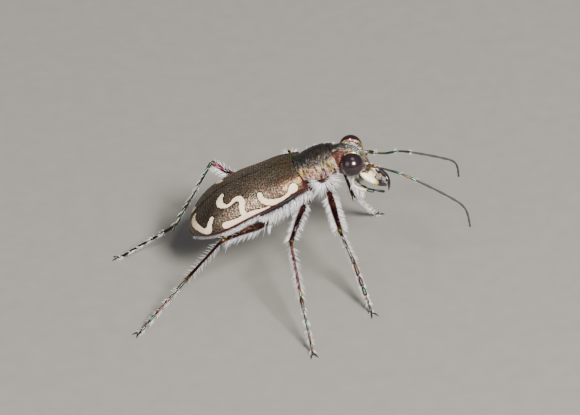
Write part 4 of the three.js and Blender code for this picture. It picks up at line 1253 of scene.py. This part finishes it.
def leg_row(start, end, outward, count, spread, length, lean, width, share, shell):
    """Hairs along one side of a leg length, or of another rod. They grow over a share of it, from a
    shell that lies so far off its middle, fan out by spread degrees and lean forward by lean
    degrees. The row is a tuple as hairs() takes it."""
    along = unit(end - start)
    up = np.cross(along, outward)
    low, high = share
    place = low + (high - low) * (np.arange(count) + rng.uniform(0, 1, count)) / count
    fan = np.radians(rng.normal(0, spread, count))
    out = outward * np.cos(fan)[:, None] + up * np.sin(fan)[:, None]
    tilt = np.radians(rng.normal(lean, 6, count))
    ways = out * np.cos(tilt)[:, None] + along * np.sin(tilt)[:, None]
    lies = ways + along * rng.uniform(0.1, 0.45, count)[:, None] + rng.normal(0, 0.05, (count, 3))
    roots = start + place[:, None] * (end - start) + out * shell
    spots = np.stack([0.03 + 0.9 * place, 0.5 + 0.45 * fan / math.pi], -1)
    return roots, ways, lies, rng.uniform(0.82, 1.08, count) * length, np.full(count, width), spots


for (pair, hand), (root, hip, knee, ankle, tip, across) in legs.items():
    outward = unit(np.array([-0.15, SIDES[hand] * 0.7, -0.6]))
    below = unit(np.cross(knee - hip, across))
    below *= np.sign(-below[2])
    rows = [leg_row(root, hip, outward, **HIP_TUFT)]
    if pair == "hind":
        # The left thigh shows its pink metal between shorter and thinner rows
        length, count = (0.78, 34) if hand == "r" else (0.6, 14)
        rows.append(leg_row(hip, knee, below, length=length, **HIND_FRINGE))
        for way in (-across, across):
            rows.append(leg_row(hip, knee, way, count=count, **HIND_SIDE_ROW))
        rows.append(leg_row(hip, knee, -below, **HIND_TOP_ROW))
    else:
        for way in (-across, across):
            rows.append(leg_row(hip, knee, way, **THIGH_FRINGE))
    length = 0.42 if pair == "front" else 0.58
    for way in (across, -across, below, -below):
        rows.append(leg_row(knee, ankle, way, length=length, **SHIN_ROW))
        for end in FOOT_JOINTS[1:]:
            rows.append(leg_row(ankle, tip, way, share=(end - 0.1, end), **FOOT_TUFT))
    if pair == "front":
        # Pads of dense white hair under the first three foot joints
        run = unit(tip - ankle)
        under = unit(run * run[2] - UP)
        rows.append(leg_row(ankle, tip, under, spread=75 if hand == "l" else 42, **SOLE_PAD))
    dress(hairs(f"coat_leg_{pair}_{hand}", rows), white_hair, "leg")


# Body hair: softer white hair on the flanks, the prothorax, the head and the lower palps. It grows
# from the shell, and on each side of the prothorax it stands out in a burst.
BURST_PLACE = (1.12, 1.1, -0.45)
BURST_REACH = 0.4
GOLDEN_TURN = 2.4
BREAST_MIDDLE, BELLY_MIDDLE = (-2, 0, -0.5), (-5.5, 0, -0.7)
PRONOTUM_MIDDLE, HEAD_MIDDLE = (1, 0, 0.1), (0.3, 0, -0.2)
BEARD = dict(spread=48, lean=26, width=0.034, share=(0.02, 1), shell=0.08)
# Start and end of each row of the beard on the lower palp, and the number and length of its hairs
BEARD_ROWS = [
    ((0.95, 0.6, -1.4), (1.75, 0.72, -1.38), 80, 0.62),
    ((0.8, 0.45, -1.0), (0.95, 0.6, -1.4), 30, 0.5),
]


def skin_hairs(surface, middle, side, count, run, span, length, width, tip, lie, loose=0.16):
    """Hair that grows from one flank of a skin round a middle. Its patch is a run of rows and a span
    of degrees above the horizon. It stands out from the skin, tipped over by tip, and bends over
    to lie. tip and lie are given for the left side."""
    low, high = span if side > 0 else (180 - span[1], 180 - span[0])
    u = rng.uniform(*run, count)
    angle = np.radians(rng.uniform(low, high, count))
    step = 1e-3
    roots = surface(u, angle)
    normal = unit(np.cross(surface(u + step, angle) - roots, surface(u, angle + step) - roots))
    normal *= np.sign((normal * (roots - middle)).sum(1))[:, None]
    ways = normal + mirrored(tip, side) + rng.normal(0, loose, (count, 3))
    lies = mirrored(lie, side) + rng.normal(0, loose, (count, 3))
    spots = 0.03 + 0.93 * np.stack([u, angle % (2 * math.pi) / (2 * math.pi)], -1)
    return roots, ways, lies, rng.uniform(0.55, 1.1, count) * length, np.full(count, width), spots


def burst_hairs(side, count, length, width, fan):
    """Hair that stands out in all directions round a place on the flank of the prothorax"""
    turn = np.arange(count) * GOLDEN_TURN
    spoke = np.stack([np.cos(turn), 0 * turn, np.sin(turn)], -1)
    reach = BURST_REACH * np.sqrt(rng.uniform(0.01, 1, count))[:, None]
    roots = mirrored(BURST_PLACE, side) + spoke * reach * (1, 0, 0.7)
    roots[:, 1] = side * (BURST_PLACE[1] - 0.35 * np.abs(roots[:, 2] + 0.2))
    ways = spoke * fan + (0, side * 0.7, 0) + rng.normal(0, 0.28, (count, 3))
    lies = spoke * fan + (0, side * 0.3, -0.1) + rng.normal(0, 0.26, (count, 3))
    spots = 0.1 + 0.8 * np.stack([(roots[:, 0] + 0.2) / 2.6, (roots[:, 2] + 1.2) / 1.6], -1)
    return roots, ways, lies, rng.uniform(0.6, 1.1, count) * length, np.full(count, width), spots


for hand, side in SIDES.items():
    flank_hair = [
        skin_hairs(underside_surface, BREAST_MIDDLE, side, count=520, run=(0.05, 0.44), span=(-62, -14),
                   length=1.0, width=0.042, tip=(-0.3, 0.2, -0.3), lie=(-0.75, 0.15, -0.65), loose=0.22),
        skin_hairs(underside_surface, BELLY_MIDDLE, side, count=700, run=(0.42, 0.94), span=(-34, 0),
                   length=0.26, width=0.024, tip=(-0.9, 0.1, -0.2), lie=(-1, 0, -0.15)),
    ]
    dress(hairs(f"coat_flank_{hand}", flank_hair, BODY), white_hair, "underside")
    collar_hair = [
        burst_hairs(side, count=110, length=1.12, width=0.044, fan=1.1),
        burst_hairs(side, count=80, length=0.74, width=0.034, fan=1.0),
        skin_hairs(prothorax_surface, PRONOTUM_MIDDLE, side, count=30, run=(0.86, 0.95), span=(-30, 30),
                   length=0.34, width=0.022, tip=(0.5, 0, -0.1), lie=(0.9, 0, -0.4)),
        skin_hairs(prothorax_surface, PRONOTUM_MIDDLE, side, count=9, run=(0.3, 0.9), span=(36, 62),
                   length=0.26, width=0.014, tip=(0.5, 0, 0.5), lie=(0.9, 0, 0.5)),
        skin_hairs(prothorax_surface, PRONOTUM_MIDDLE, side, count=34, run=(0.12, 0.85), span=(0, 60),
                   length=0.2, width=0.011, tip=(0.8, 0, -0.2), lie=(1, 0, -0.5)),
    ]
    dress(hairs(f"coat_prothorax_{hand}", collar_hair, BODY), white_hair, "fore_shell")
    face_hair = [
        skin_hairs(head_surface, HEAD_MIDDLE, side, count=60, run=(0.3, 0.62), span=(45, 135),
                   length=0.3, width=0.018, tip=(0.4, 0, -0.3), lie=(0.9, 0, 0.1)),
        skin_hairs(head_surface, HEAD_MIDDLE, side, count=40, run=(0.5, 0.8), span=(-70, -10),
                   length=0.34, width=0.02, tip=(0.2, 0, -0.4), lie=(0.5, 0, -0.6)),
    ]
    dress(hairs(f"coat_head_{hand}", face_hair, HEAD), white_hair, "fore_shell")
    beard_hair = []
    downward = unit(np.array([0.1, side * 0.35, -1.0]))
    for start, end, count, length in BEARD_ROWS:
        start, end = mirrored([start, end], side)
        beard_hair.append(leg_row(start, end, downward, count=count, length=length, **BEARD))
    dress(hairs(f"coat_palp_{hand}", beard_hair, HEAD), white_hair, "mouth_feeler")


# Feeler bristles: a few stiff white hairs that stand out round the far end of each bare joint of
# the feelers.
BRISTLE_RUN = 6
FEELER_TUFT = dict(count=2, spread=20, length=0.26, lean=40, width=0.022, share=(0.3, 1.0), shell=0.05)

for hand, route in FEELER_ROUTES.items():
    at, across, lift = path_frames(route, PATH_ROWS)
    rows = []
    for joint_end in FEELER_JOINTS[1:BARE_JOINTS + 1]:
        i = int(joint_end * PATH_ROWS)
        root = at[i - BRISTLE_RUN]
        for way in (across[i], -across[i], lift[i], -lift[i]):
            rows.append(leg_row(root, at[i], way, **FEELER_TUFT))
    dress(hairs(f"coat_feeler_{hand}", rows, BODY), white_hair, "metallic_feeler")
